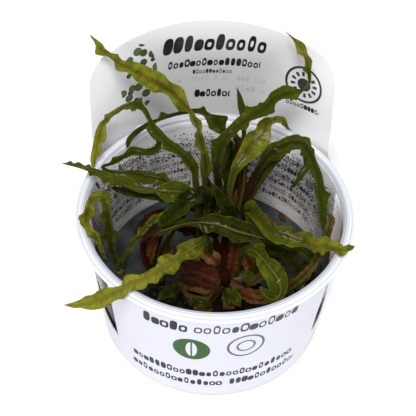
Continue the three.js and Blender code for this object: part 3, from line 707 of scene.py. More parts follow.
# The cluster's outline is a disc on the arc length times its slimness, which makes it an upright oval.
cluster = round_print(tree, arc * CLUSTER_SLIMNESS, up, CLUSTER, CLUSTER_HALF_HEIGHT)
colour = mix_colours((from_pad < 0.47) * cluster["Disc"], colour, pad_green)
sun = round_print(tree, arc, up, SUN, SUN_RADIUS, 0.95)
rays = maths("SINE", sun["Angle"] * SUN_RAYS) > 0.1
ray_band = (sun["Distance"] > SUN_RAY_STARTS) * (sun["Distance"] < SUN_RAY_ENDS)
sun_mask = maths("MAXIMUM", maths("MAXIMUM", sun["Ring"], sun["Distance"] < SUN_CORE), rays * ray_band)
colour = mix_colours(sun_mask * 0.97, colour, INK_DARK)
finish_sheet(tree, shader, colour)

# On the front panel, rows of marks, a green disc with a leaf left bare in it, and a double ring at its right.
outer_print = [
    (-28.5, -11.5, 45.2, 0.035, 1, 7, 5.9, 3.4, 1.0, 3.2, 0.0, 0.4, 0.08, 5, INK_DARK, 1),
    (-9.5, 28.5, 45.6, 0.035, 1, 7, 5.3, 3.2, 1.0, 2.6, 0.02, 0.3, 0.25, 9, INK_DARK, 0.95),
    (-36, 33, 15.4, 0.03, 1, 5, 4.2, 2.6, 1.0, 2.8, 0.02, 0, 0.1, 18, INK_DARK, 1),
    (-37, 34, 8.6, 0.03, 1, 5, 4.2, 2.6, 1.0, 2.8, 0.02, 0, 0.1, 29, INK_DARK, 1),
]
outside, tree, shader, arc, up = sheet_material("label_outside")
front_across = maths("SIGN", arc) * HALF_TURN - arc
colour = print_over(tree, SHEET_WHITE, front_across, up, outer_print)
seal = round_print(tree, front_across, up, SEAL, SEAL_RADIUS)
blade_bow = abs(front_across - SEAL[0])
blade_rise = abs(up - SEAL[1]) / SEAL_LEAF_HALF_LENGTH
blade_taper = maths("SQRT", maths("MAXIMUM", 1.0 - blade_rise**2.0, 0.0))
blade = blade_bow < blade_taper * SEAL_LEAF_HALF_WIDTH
vein = blade_bow < SEAL_VEIN_HALF_WIDTH
colour = mix_colours(seal["Disc"] * (1.0 - blade * (1.0 - vein)), colour, INK_GREEN)
dial = round_print(tree, front_across, up, DIAL, DIAL_RADIUS, 0.9)
inner_dial = round_print(tree, front_across, up, DIAL, DIAL_INNER_RADIUS, 0.8)
colour = mix_colours(maths("MAXIMUM", dial["Ring"], inner_dial["Ring"]) * 0.85, colour, INK_DARK)
finish_sheet(tree, shader, colour)

label_mesh_points, label_faces, label_corners = sheet(cells, label_points, LABEL_THICKNESS)
label = add_piece("printed_label", label_mesh_points, label_faces, outside, "label_plastic", "label")
label.data.materials.append(inside)
sheet_uv = label.data.uv_layers.new(name="sheet")
share_round = (label_corners[:, 0] + HALF_TURN) / (2 * HALF_TURN)
uv_places = np.stack([share_round, label_corners[:, 1] / SHEET_UV_HEIGHT], -1)
sheet_uv.uv.foreach_set("vector", uv_places.astype(np.float32).ravel())
outer_copy = len(label_mesh_points) // 2
label.data.polygons.foreach_set("material_index", [int(min(corners) < outer_copy) for corners in label_faces])
label.data.set_sharp_from_angle(angle=SHARP_ANGLE)

# Gel
# The stiff growing gel that fills the cup's lower third. It was poured, so its top is level, with a low meniscus at
# the wall, and it has shrunk and dimpled a little round the stems.
GEL_TOP = 21.2
TOUCH_GAP = 0.3
GEL_CORNER = 0.8
GEL_SHRUNK = 0.7
MENISCUS_RISE = 0.55
MENISCUS_WIDTH = 3
GEL_RINGS = 90
GEL_SEGMENTS = 240
GEL_DARK = (0.02, 0.026, 0.03, 1)
GEL_LIGHT = (0.05, 0.058, 0.056, 1)
GEL_SHADOW = (0.005, 0.003, 0.002, 1)
GEL_SPECK = (0.12, 0.13, 0.12, 1)
gel_side = rounded([
    (0, CUP_FLOOR + TOUCH_GAP),
    (wall_inner(0) - 1 - TOUCH_GAP, CUP_FLOOR + TOUCH_GAP),
    (wall_inner(CUP_FLOOR + 1) - TOUCH_GAP, CUP_FLOOR + 1 + TOUCH_GAP),
    (wall_inner(GEL_TOP) - TOUCH_GAP, GEL_TOP),
], GEL_CORNER)[:-1]
ring_radius = np.linspace(1, 0, GEL_RINGS) ** 0.8 * (wall_inner(GEL_TOP) - TOUCH_GAP)
gel_line = np.concatenate([gel_side, np.stack([ring_radius, np.full(GEL_RINGS, GEL_TOP)], -1)])
gel_points, gel_faces = turned(gel_line, GEL_SEGMENTS)


def gel_level(x, y):
    """How far the gel's top lies below the level it was poured to: how much it has shrunk, slow waves, finer dimples
    and a meniscus that climbs by the square of the way to the wall."""
    r = np.hypot(x, y)
    slow = 0.16 * np.sin(0.23 * x + 1.1) * np.cos(0.19 * y - 0.4) + 0.1 * np.sin(0.41 * x - 0.37 * y)
    fine = 0.05 * np.sin(1.3 * x + 0.8 * y) * np.sin(1.1 * y - 0.6 * x + 2)
    edge = wall_inner(GEL_TOP) - TOUCH_GAP
    climb = np.clip((r - edge + MENISCUS_WIDTH) / MENISCUS_WIDTH, 0, 1)
    return GEL_SHRUNK + slow + fine - MENISCUS_RISE * climb**2


def roughen(shader, height, strength, distance):
    """Bump from a height value, with a strength and the distance in metres that a height of one stands for."""
    bump = shader.id_data.nodes.new("ShaderNodeBump")
    bump.inputs["Strength"].default_value = strength
    bump.inputs["Distance"].default_value = distance
    feed(bump.inputs["Height"], height)
    feed(shader.inputs["Normal"], bump.outputs[0])


on_top = gel_points[:, 2] > GEL_TOP - 0.01
gel_points[on_top, 2] -= gel_level(gel_points[on_top, 0], gel_points[on_top, 1])
# It is dark and cloudy, with pale specks. A painted shadow of the cup's front darkens its front half, all but the far
# left of it.
gel_material, tree, shader = new_material("gel", IOR=1.28, Coat_Weight=0.15, Coat_Roughness=0.05)
place = object_place(tree)
cloud = noise(place, 70.0, 5.0, 0.6)
specks = noise(place, 420.0, 3.0, 0.6)
broad = noise(place, 28.0, 3.0, 0.5)
gel_colour = mix_colours(rescale(cloud, 0.35, 0.68), GEL_DARK, GEL_LIGHT)
x, y = apart(place)
# Painted shadow over the gel's front half, all but the far left.
front_shadow = rescale(y + rescale(broad, 0.0, 1.0, -0.03, 0.03, "LINEAR"), -0.004, 0.018, 1.0, 0.0)
gel_colour = mix_colours(front_shadow * rescale(x, -0.034, -0.02, 0.1, 1.0), gel_colour, GEL_SHADOW)
gel_colour = mix_colours(rescale(specks, 0.64, 0.74, 0.0, 0.35), gel_colour, GEL_SPECK)
feed(shader.inputs["Base Color"], gel_colour)
feed(shader.inputs["Roughness"], rescale(cloud, 0.3, 0.7, 0.08, 0.24))
roughen(shader, cloud, 0.5, 0.0004)
add_piece("growing_gel", gel_points, gel_faces, gel_material, "gel", "gel")

# Crowns
# Each plantlet's short stout stem, of living tissue that is lumpy with old leaf bases. Its leaves grow from it, and
# it is rooted in the gel.
CROWN_TOP = 2.4
CROWN_DEPTH = 5
CROWN_CORNER = 1.2
CROWN_SEGMENTS = 48
CROWN_BROWN = (0.035, 0.024, 0.01, 1)
CROWN_GREEN = (0.04, 0.048, 0.012, 1)
CROWN_STRAND = (0.03, 0.018, 0.01, 1)
# Where each is, as x and y, and its radius.
CROWNS = {
    "crown_left": (-21, -3.5, 3.6),
    "crown_far_left": (-35.2, -2.5, 2.2),
    "crown_middle": (-0.5, 1.5, 4.4),
    "crown_right": (9.5, -0.8, 4.5),
    "crown_far_right": (33, -4.8, 2),
}
crown_material, tree, shader = new_material("crown", Roughness=0.55, IOR=1.42)
place = object_place(tree)
fibre = tree.nodes.new("ShaderNodeMapping")
fibre.inputs["Scale"].default_value = (1.0, 1.0, 0.2)
feed(fibre.inputs["Vector"], place)
strands = noise(fibre.outputs[0], 900.0, 4.0, 0.6)
patches = noise(place, 250.0, 3.0, 0.5)
crown_colour = mix_colours(rescale(patches, 0.35, 0.65), CROWN_BROWN, CROWN_GREEN)
crown_colour = mix_colours(rescale(strands, 0.5, 0.75, 0.0, 0.7), crown_colour, CROWN_STRAND)
feed(shader.inputs["Base Color"], crown_colour)
roughen(shader, strands, 0.6, 0.0005)
for number, (name, (x, y, radius)) in enumerate(CROWNS.items()):
    crown_line = rounded([
        (0, -CROWN_DEPTH), (radius / 2, -CROWN_DEPTH), (radius, 0), (radius * 0.92, CROWN_TOP), (0, CROWN_TOP),
    ], CROWN_CORNER, 8)
    crown_points, crown_faces = turned(crown_line, CROWN_SEGMENTS)
    angle = np.arctan2(crown_points[:, 1], crown_points[:, 0])
    lumps = 0.05 * np.sin(5 * angle + number) + 0.04 * np.sin(9 * angle + 2 * crown_points[:, 2] + number)
    crown_points[:, :2] *= (0.95 - np.abs(lumps))[:, None]
    crown_points += (x, y, GEL_TOP)
    add_piece("stem_" + name, crown_points, crown_faces, crown_material, "crown", name)

# Leaves
# Thin ribbed blades on long petioles, with crinkled, lobed margins. Each grows from a crown, and the small and old
# ones lie over the gel.
UP_TO_LIGHT = np.array([0, -0.67, 0.74])
LEAF_STEP = 0.36
SPAN_SAMPLES = 24
BLADE_STARTS = 1.1
BLADE_WHOLE = 1.6
BLADE_HALF_THICKNESS = 0.11
STALK_THICKNESS = 0.8
RIB_HEIGHT = 0.24
RIB_HALF_WIDTH = 0.42
FOLD = 0.16
QUILT = 0.14
CRENULATION = 0.025
CRENULATION_LENGTH = 1.3
TIP_LENGTH = 2.5
TOP_POINTS = 17
# Rows are points on the midrib from foot to tip: x, y, z, half width and, where the leaf turns about itself, a roll
# in degrees.
LEAVES = {
    "tall_left": [
        (-2, 2, 24.2, 0.8), (-3, 1, 47, 0.7), (-4, 1, 67, 0.9), (-4, 2, 77, 1.6, 20), (-5, 2, 85, 1.9),
        (-6, 3, 90, 1.5), (-7.5, 6, 93, 2.2), (-11, 11, 96, 3), (-18, 17, 98, 3.2), (-26, 22, 99, 3.4),
        (-35, 28, 99, 2.1, 20), (-41, 33, 100, 1.7), (-46.5, 38.5, 103, 0.4),
    ],
    "left_arch": [
        (-3, 4, 24.2, 0.8), (-5, 3, 49, 0.7), (-7, 4, 64, 1.1), (-8.5, 5, 72, 1.7), (-12.5, 5, 79, 2.4),
        (-17, 6, 83, 2.6), (-22, 9, 87, 2.2), (-25.5, 13, 92, 2.1), (-29, 17, 91, 1.6), (-34, 20, 86, 1.6),
        (-41, 25, 75, 1.6), (-43, 24, 70, 2.2), (-44.5, 21, 64, 2), (-45.5, 16, 59, 0.6),
    ],
    "back_arch": [
        (0, 4.5, 24.2, 0.8), (1, 6, 47, 0.7), (1, 9, 63, 0.9), (3, 15, 70, 1.1), (3, 20, 74, 2.2),
        (0.5, 21, 78, 3.2), (-2.5, 22, 81, 3.2), (-6, 24, 82, 2), (-10.5, 25, 81, 1.6), (-17, 27, 77, 1.6),
        (-26, 29, 70, 1.7), (-32.5, 29, 63, 1.5), (-34, 27, 59, 0.4),
    ],
    "tall_right": [
        (7, 1.5, 24.2, 0.8), (4, 2, 47, 0.9), (1, 2, 65, 1.4), (0, 3, 76, 2.1), (2, 6, 85, 2.7), (6, 9, 89, 2.7),
        (13, 15, 91, 2.8), (19, 22, 91, 3), (25, 26, 91, 2.5), (30, 29, 91, 1.2, 50), (31, 32.5, 95, 1.6),
        (28, 38, 101, 1.6), (22, 45, 103, 0.4),
    ],
    "light_green": [
        (9, 2.2, 24.2, 0.8), (7, 3, 49, 0.7), (5, 3, 62, 1.1), (6, 7, 70, 1.8), (9, 11, 74, 3), (13, 16, 77, 3.5),
        (17, 20, 80, 2.8), (20, 24, 80, 1.6), (23, 27, 77, 1.6), (25, 27, 73, 0.9), (27, 28, 71, 0.3),
    ],
    "right_arch": [
        (12, 0, 24.2, 0.9), (11, 2, 41, 0.9), (11, 5, 53, 1.1), (12.5, 8, 63, 1.4), (16, 11, 70, 2.1),
        (20, 13, 75, 2.8), (25.5, 16, 76, 3), (30.5, 19, 73, 2.3), (34, 20, 67, 2.2), (37, 19, 59, 2.4),
        (38.5, 16, 52, 2.5), (39.5, 12, 47, 2.2), (40, 9.5, 43, 1.5), (40.5, 7.5, 40, 0.4),
    ],
    "right_tip": [
        (11.4, 2.4, 24.2, 0.8), (12, 6, 41, 0.7), (13, 11, 51, 0.9), (17, 14, 60, 1.1), (21, 17, 66, 1.3),
        (26, 21, 69, 1.3), (31, 23, 67, 1.1), (33, 20, 62, 1.3), (31, 17, 59, 1.1), (29, 16, 55, 0.7),
        (27, 16, 52, 0.3),
    ],
    "left_low": [
        (-3.5, 0, 24.2, 0.8), (-6, -1, 47, 0.7), (-7, -1, 60, 1.2), (-11, -2, 67, 2.3), (-16, -3, 69, 2.6),
        (-23, -3, 69, 2.3), (-30, -2, 69, 2.1), (-37, 3, 68, 1.9), (-44, 7, 67, 1.8), (-50, 10, 66, 1.4),
        (-56, 12, 65, 0.4),
    ],
    "left_vein": [
        (-23, -3, 24.2, 0.8), (-22, -1, 32, 0.9), (-19, 1, 43, 0.9), (-15, 3, 55, 0.9), (-15, 4, 61, 1.2),
        (-19, 6, 65, 1.8), (-25, 7, 66, 2.3), (-32, 8, 66, 2.3), (-38, 8, 66, 1.8), (-41, 11, 65, 1.1),
        (-38, 15, 63, 1.5), (-33, 23, 60, 1.9), (-27, 25, 60, 1.9), (-23, 25, 62, 1.7), (-22, 26, 65, 0.9),
        (-26, 27, 68, 0.3),
    ],
    "left_under": [
        (-20, -3, 24.2, 0.8), (-18, -1, 34, 0.9), (-15, 0, 45, 0.9), (-11, 1, 54, 1.1), (-13, 1, 60, 1.4),
        (-18, 0, 62, 1.6), (-24, 0, 63, 1.6), (-30, 2, 62, 1.6), (-35, 3, 62, 1.1), (-38, 4, 62, 0.3),
    ],
    "left_curl": [
        (-36, -3, 24.2, 0.9), (-37, -3, 31, 1.7), (-38, -3, 38, 2), (-38, -4, 46, 2.2), (-38, -5, 55, 2.3),
        (-38.5, -5, 62, 2.5), (-40, -5, 66, 2.1), (-42.5, -4.5, 65, 1.7), (-44.5, -6, 62.5, 1.7),
        (-45, -11.5, 62, 2.4), (-43.2, -16, 61.5, 2.3), (-41.3, -15.5, 57.5, 1.3), (-40, -11.8, 46, 1.1),
        (-39, -8, 34, 0.6),
    ],
    "left_diagonal": [
        (-34, -2, 24.2, 0.8), (-33, -3, 31, 1.1), (-30, -5, 41, 1.5), (-26, -5, 49, 1.6), (-23, -6, 56, 1.6),
        (-19, -7, 60, 1.4), (-16, -6, 63, 0.9), (-14, -5, 65, 0.3),
    ],
    "front_left": [
        (-0.5, -1.5, 24.2, 0.8), (-1, -3, 36, 0.9), (-2, -7, 47, 1.6), (-5, -13, 53, 2.5), (-10, -20, 56, 2.8),
        (-15, -27, 58, 2.9), (-20, -33, 60, 2.9), (-26, -38, 61, 3), (-31.5, -43, 62, 3), (-37, -47, 62, 2.6),
        (-43, -47.5, 60, 2), (-49, -45.5, 57, 0.4),
    ],
    "across": [
        (-21, -6, 24.2, 1.1), (-25, -6, 33, 1.1), (-26, -5, 40, 1.1), (-24, -7, 48, 1.1), (-19, -9, 54, 1.4),
        (-12, -9, 58, 1.9), (-5, -9, 60, 2.5), (2, -10, 60, 3), (9, -11, 58, 3), (17, -10, 54, 2.5),
        (24, -8, 50, 2), (30, -8, 46, 1.4), (35, -9, 42, 1.1), (38, -11, 37, 0.3),
    ],
    "right_over": [
        (10, -1, 24.2, 0.8), (12, -2, 39, 0.9), (13, -1, 51, 1.6), (12, -1, 58, 2.5), (13, -4, 62, 2.3),
        (15, -9, 64, 2.3), (19, -14, 64, 2.2), (25, -16, 64, 2.4), (30, -18, 63, 2.6), (35, -19, 62, 2.4),
        (41, -19, 61, 1.9), (45, -19, 60, 1.4), (49, -16, 59, 0.3),
    ],
    "lower_right": [
        (9, -3.5, 24.2, 0.9), (10, -5, 35, 0.9), (11, -8, 44, 1.4), (14, -11.5, 49, 2.3), (17.5, -17, 51, 2.6),
        (20.5, -22, 51.5, 2.8), (23, -26, 51, 2.8), (24, -29, 48, 2.3), (22, -31, 46, 1.7), (18.5, -31, 48, 1.4),
        (16.5, -29, 50.5, 0.4),
    ],
    "low_right": [
        (33, -5, 24.2, 0.8), (32, -4, 29, 1.7), (29, -2, 33, 2.2), (25, 0, 35, 2.2), (21, 2, 35, 1.9),
        (18, 3, 36, 0.4),
    ],
    "wall_right": [
        (25, -11, 22.2, 0.7), (29, -12, 30, 1.5), (33, -12, 36, 1.5), (36, -11, 41, 1.4), (38, -9, 45, 1.3),
        (40, -7, 48, 0.4),
    ],
    "wall_tip": [
        (35, 4, 22.2, 0.8), (39, 3, 33, 1.1), (41, 1, 42, 1.5), (42, 2, 48, 1.5), (42, 3, 52, 1.1),
        (40, 3, 55, 0.3),
    ],
    "upright": [
        (1.8, 4.4, 24.2, 0.8), (8, 9, 45, 0.7), (10, 13, 57, 0.7), (9.5, 18, 67, 0.7), (9, 24, 76, 0.9),
        (8, 28, 81, 1.3), (6, 33, 86, 0.4),
    ],
    "crinkled": [
        (3, 2.4, 24.2, 0.8), (4, 7, 43, 0.7), (4.5, 11, 54, 1.1), (5, 15, 61, 2.2), (5, 18, 65, 2.2),
        (4, 21, 68, 1.6), (2, 25, 70, 0.4),
    ],
    "down_right": [
        (6, -2, 24.2, 0.8), (6, -2, 42, 0.9), (6, -2, 53, 2.3), (4, -3, 61, 2.8), (1, -3, 68, 2.3),
        (-2, -2, 73, 0.3),
    ],
    "thick_blade": [
        (-2.6, -1.6, 24.2, 0.8), (-3, -2, 47, 0.9), (-3, -2, 61, 1.6), (-4, -3, 68, 2.5), (-8, -5, 69, 3),
        (-12, -7, 66, 3), (-16, -9, 62, 2.5), (-20, -10, 58, 0.5),
    ],
    "small_left": [(-11, -10, 22, 0.4), (-14, -13, 26, 1.7), (-17, -16, 27, 1.8), (-20, -19, 26, 0.4)],
    "small_middle": [(-9, -15, 22, 0.4), (-6, -18, 26, 1.5), (-2, -19, 26, 1.5), (1, -19, 24, 0.3)],
    "small_right": [(4, -11, 22, 0.4), (6, -15, 27, 2), (9, -18, 28, 2), (11, -20, 26, 0.4)],
    "old_tan": [(-6.2, 1.4, 22.2, 0.8), (-7, 3, 25, 2.1), (-8, 6.5, 27, 2.2), (-9.5, 11, 27, 0.6)],
    "old_red": [(3, -6, 22, 0.8), (-1, -5, 24, 2.1), (-6, -4, 25, 2.3), (-12, -3, 25, 0.6)],
    "old_brown": [(14.6, -4, 22.2, 0.8), (15.4, -1, 27, 2.1), (17, 3, 30, 2.1), (18, 7, 31, 0.6)],
    "old_loop": [(13, -7, 22, 0.6), (16, -7, 26, 1.5), (20, -4, 28, 1.5), (21, 1, 28, 0.4)],
    "old_orange": [
        (9, -8, 22, 0.8), (11, -12, 24, 1.5), (16, -15, 25, 1.7), (22, -15, 25, 1.5), (27, -13, 24, 0.4),
    ],
    "old_strip": [(-9, -8, 23, 0.4), (-8, -13, 27, 0.9), (-5, -15, 29, 1.1), (-2, -16, 29, 1.1), (0, -14, 29, 0.4)],
    "old_dark": [(-31, 14, 23, 0.6), (-28, 19, 23, 2.6), (-24, 25, 23, 2.6), (-20, 30, 23, 0.4)],
}
# How each leaf looks: its slot, the lobes' length in millimetres, the lobes' depth and the ruffle as shares of the
# half width, how red its petiole is, and its tone from 0, dark, to 1, light, at even places from foot to tip. The
# tone is partly the leaf's own colour and partly painted shade, mostly darker towards the foot, deep in the cup.
LEAF_LOOKS = {
    "tall_left": ("leaf_light", 9.0, 0.2, 0.3, 0.6, (0.15, 0.3, 0.45, 0.6, 0.72, 0.76, 0.8)),
    "left_arch": ("leaf_dark", 4.6, 0.26, 0.42, 0.3, (0.3, 0.35, 0.42, 0.5, 0.4, 0.65, 0.8, 0.9)),
    "back_arch": ("leaf_dark", 4.8, 0.26, 0.34, 0.5, (0.2, 0.2, 0.3, 0.3, 0.4, 0.45, 0.4)),
    "tall_right": ("leaf_mid", 4.6, 0.24, 0.4, 0.4, (0.05, 0.05, 0.06, 0.18, 0.5, 0.5, 0.62, 0.8)),
    "light_green": ("leaf_light", 8.0, 0.1, 0.16, 0.3, (0.1, 0.15, 0.32, 0.65, 0.76, 0.7)),
    "right_arch": ("leaf_dark", 4.4, 0.24, 0.34, 1.3, (0.0, 0.0, 0.0, 0.0, 0.3, 0.52, 0.5, 0.38, 0.25)),
    "right_tip": ("leaf_mid", 4.6, 0.2, 0.3, 0.5, (0.2, 0.2, 0.3, 0.35, 0.35)),
    "left_low": ("leaf_mid", 4.4, 0.28, 0.44, 0.2, (0.3, 0.35, 0.45, 0.5, 0.55, 0.65)),
    "left_vein": ("leaf_mid", 4.6, 0.22, 0.3, 0.9, (0.3, 0.3, 0.4, 0.5, 0.45, 0.4, 0.3)),
    "left_under": ("leaf_dark", 4.4, 0.2, 0.34, 0.8, (0.1, 0.15, 0.2, 0.2)),
    "left_curl": ("leaf_light", 7.0, 0.3, 0.36, 0.2, (0.2, 0.25, 0.35, 0.55, 0.7, 0.75, 0.85, 0.8, 0.5)),
    "left_diagonal": ("leaf_mid", 3.6, 0.26, 0.5, 0.3, (0.4, 0.6, 0.6, 0.6)),
    "front_left": ("leaf_light", 5.6, 0.26, 0.46, 0.2, (0.3, 0.4, 0.6, 0.7, 0.8, 0.88, 0.9, 0.88)),
    "across": ("leaf_mid", 4.4, 0.26, 0.6, 1.4, (0.15, 0.25, 0.28, 0.22, 0.26, 0.3, 0.4)),
    "right_over": ("leaf_light", 6.0, 0.26, 0.46, 0.3, (0.2, 0.25, 0.52, 0.52, 0.54, 0.68, 0.8)),
    "lower_right": ("leaf_light", 5.0, 0.26, 0.44, 0.2, (0.3, 0.35, 0.5, 0.58, 0.63, 0.4, 0.5)),
    "low_right": ("leaf_dark", 4.6, 0.2, 0.3, 0.5, (0.1, 0.15, 0.2, 0.2)),
    "wall_right": ("leaf_old", 4.6, 0.14, 0.2, 0.6, (0.5, 0.6, 0.7, 0.6)),
    "wall_tip": ("leaf_old", 4.6, 0.14, 0.2, 0.6, (0.3, 0.4, 0.6, 0.7)),
    "upright": ("leaf_dark", 4.6, 0.2, 0.3, 0.3, (0.1, 0.15, 0.2, 0.2)),
    "crinkled": ("leaf_dark", 3.4, 0.28, 0.52, 0.5, (0.1, 0.12, 0.15, 0.15)),
    "down_right": ("leaf_dark", 4.6, 0.26, 0.44, 0.4, (0.04, 0.06, 0.12, 0.2)),
    "thick_blade": ("leaf_mid", 4.6, 0.26, 0.44, 0.4, (0.0, 0.02, 0.08, 0.14, 0.25)),
    "small_left": ("leaf_dark", 3.2, 0.2, 0.3, 0.2, (0.2, 0.3, 0.3)),
    "small_middle": ("leaf_dark", 3.2, 0.2, 0.3, 0.2, (0.15, 0.2, 0.2)),
    "small_right": ("leaf_dark", 3.2, 0.2, 0.3, 0.2, (0.2, 0.35, 0.3)),
    "old_tan": ("leaf_old", 3.6, 0.16, 0.26, 0.5, (0.6, 0.85, 0.9, 0.8)),
    "old_red": ("leaf_old", 3.6, 0.16, 0.3, 0.5, (0.55, 0.7, 0.7, 0.55)),
    "old_brown": ("leaf_old", 3.6, 0.16, 0.3, 0.7, (0.2, 0.3, 0.4, 0.3)),
    "old_loop": ("leaf_old", 3.6, 0.16, 0.3, 0.7, (0.3, 0.5, 0.55, 0.4)),
    "old_orange": ("leaf_old", 3.6, 0.16, 0.3, 0.7, (0.3, 0.6, 0.7, 0.6)),
    "old_strip": ("leaf_old", 3.6, 0.1, 0.2, 0.5, (0.6, 0.8, 0.9, 0.8)),
    "old_dark": ("leaf_old", 3.6, 0.16, 0.2, 0.7, (0.1, 0.15, 0.2, 0.15)),
}

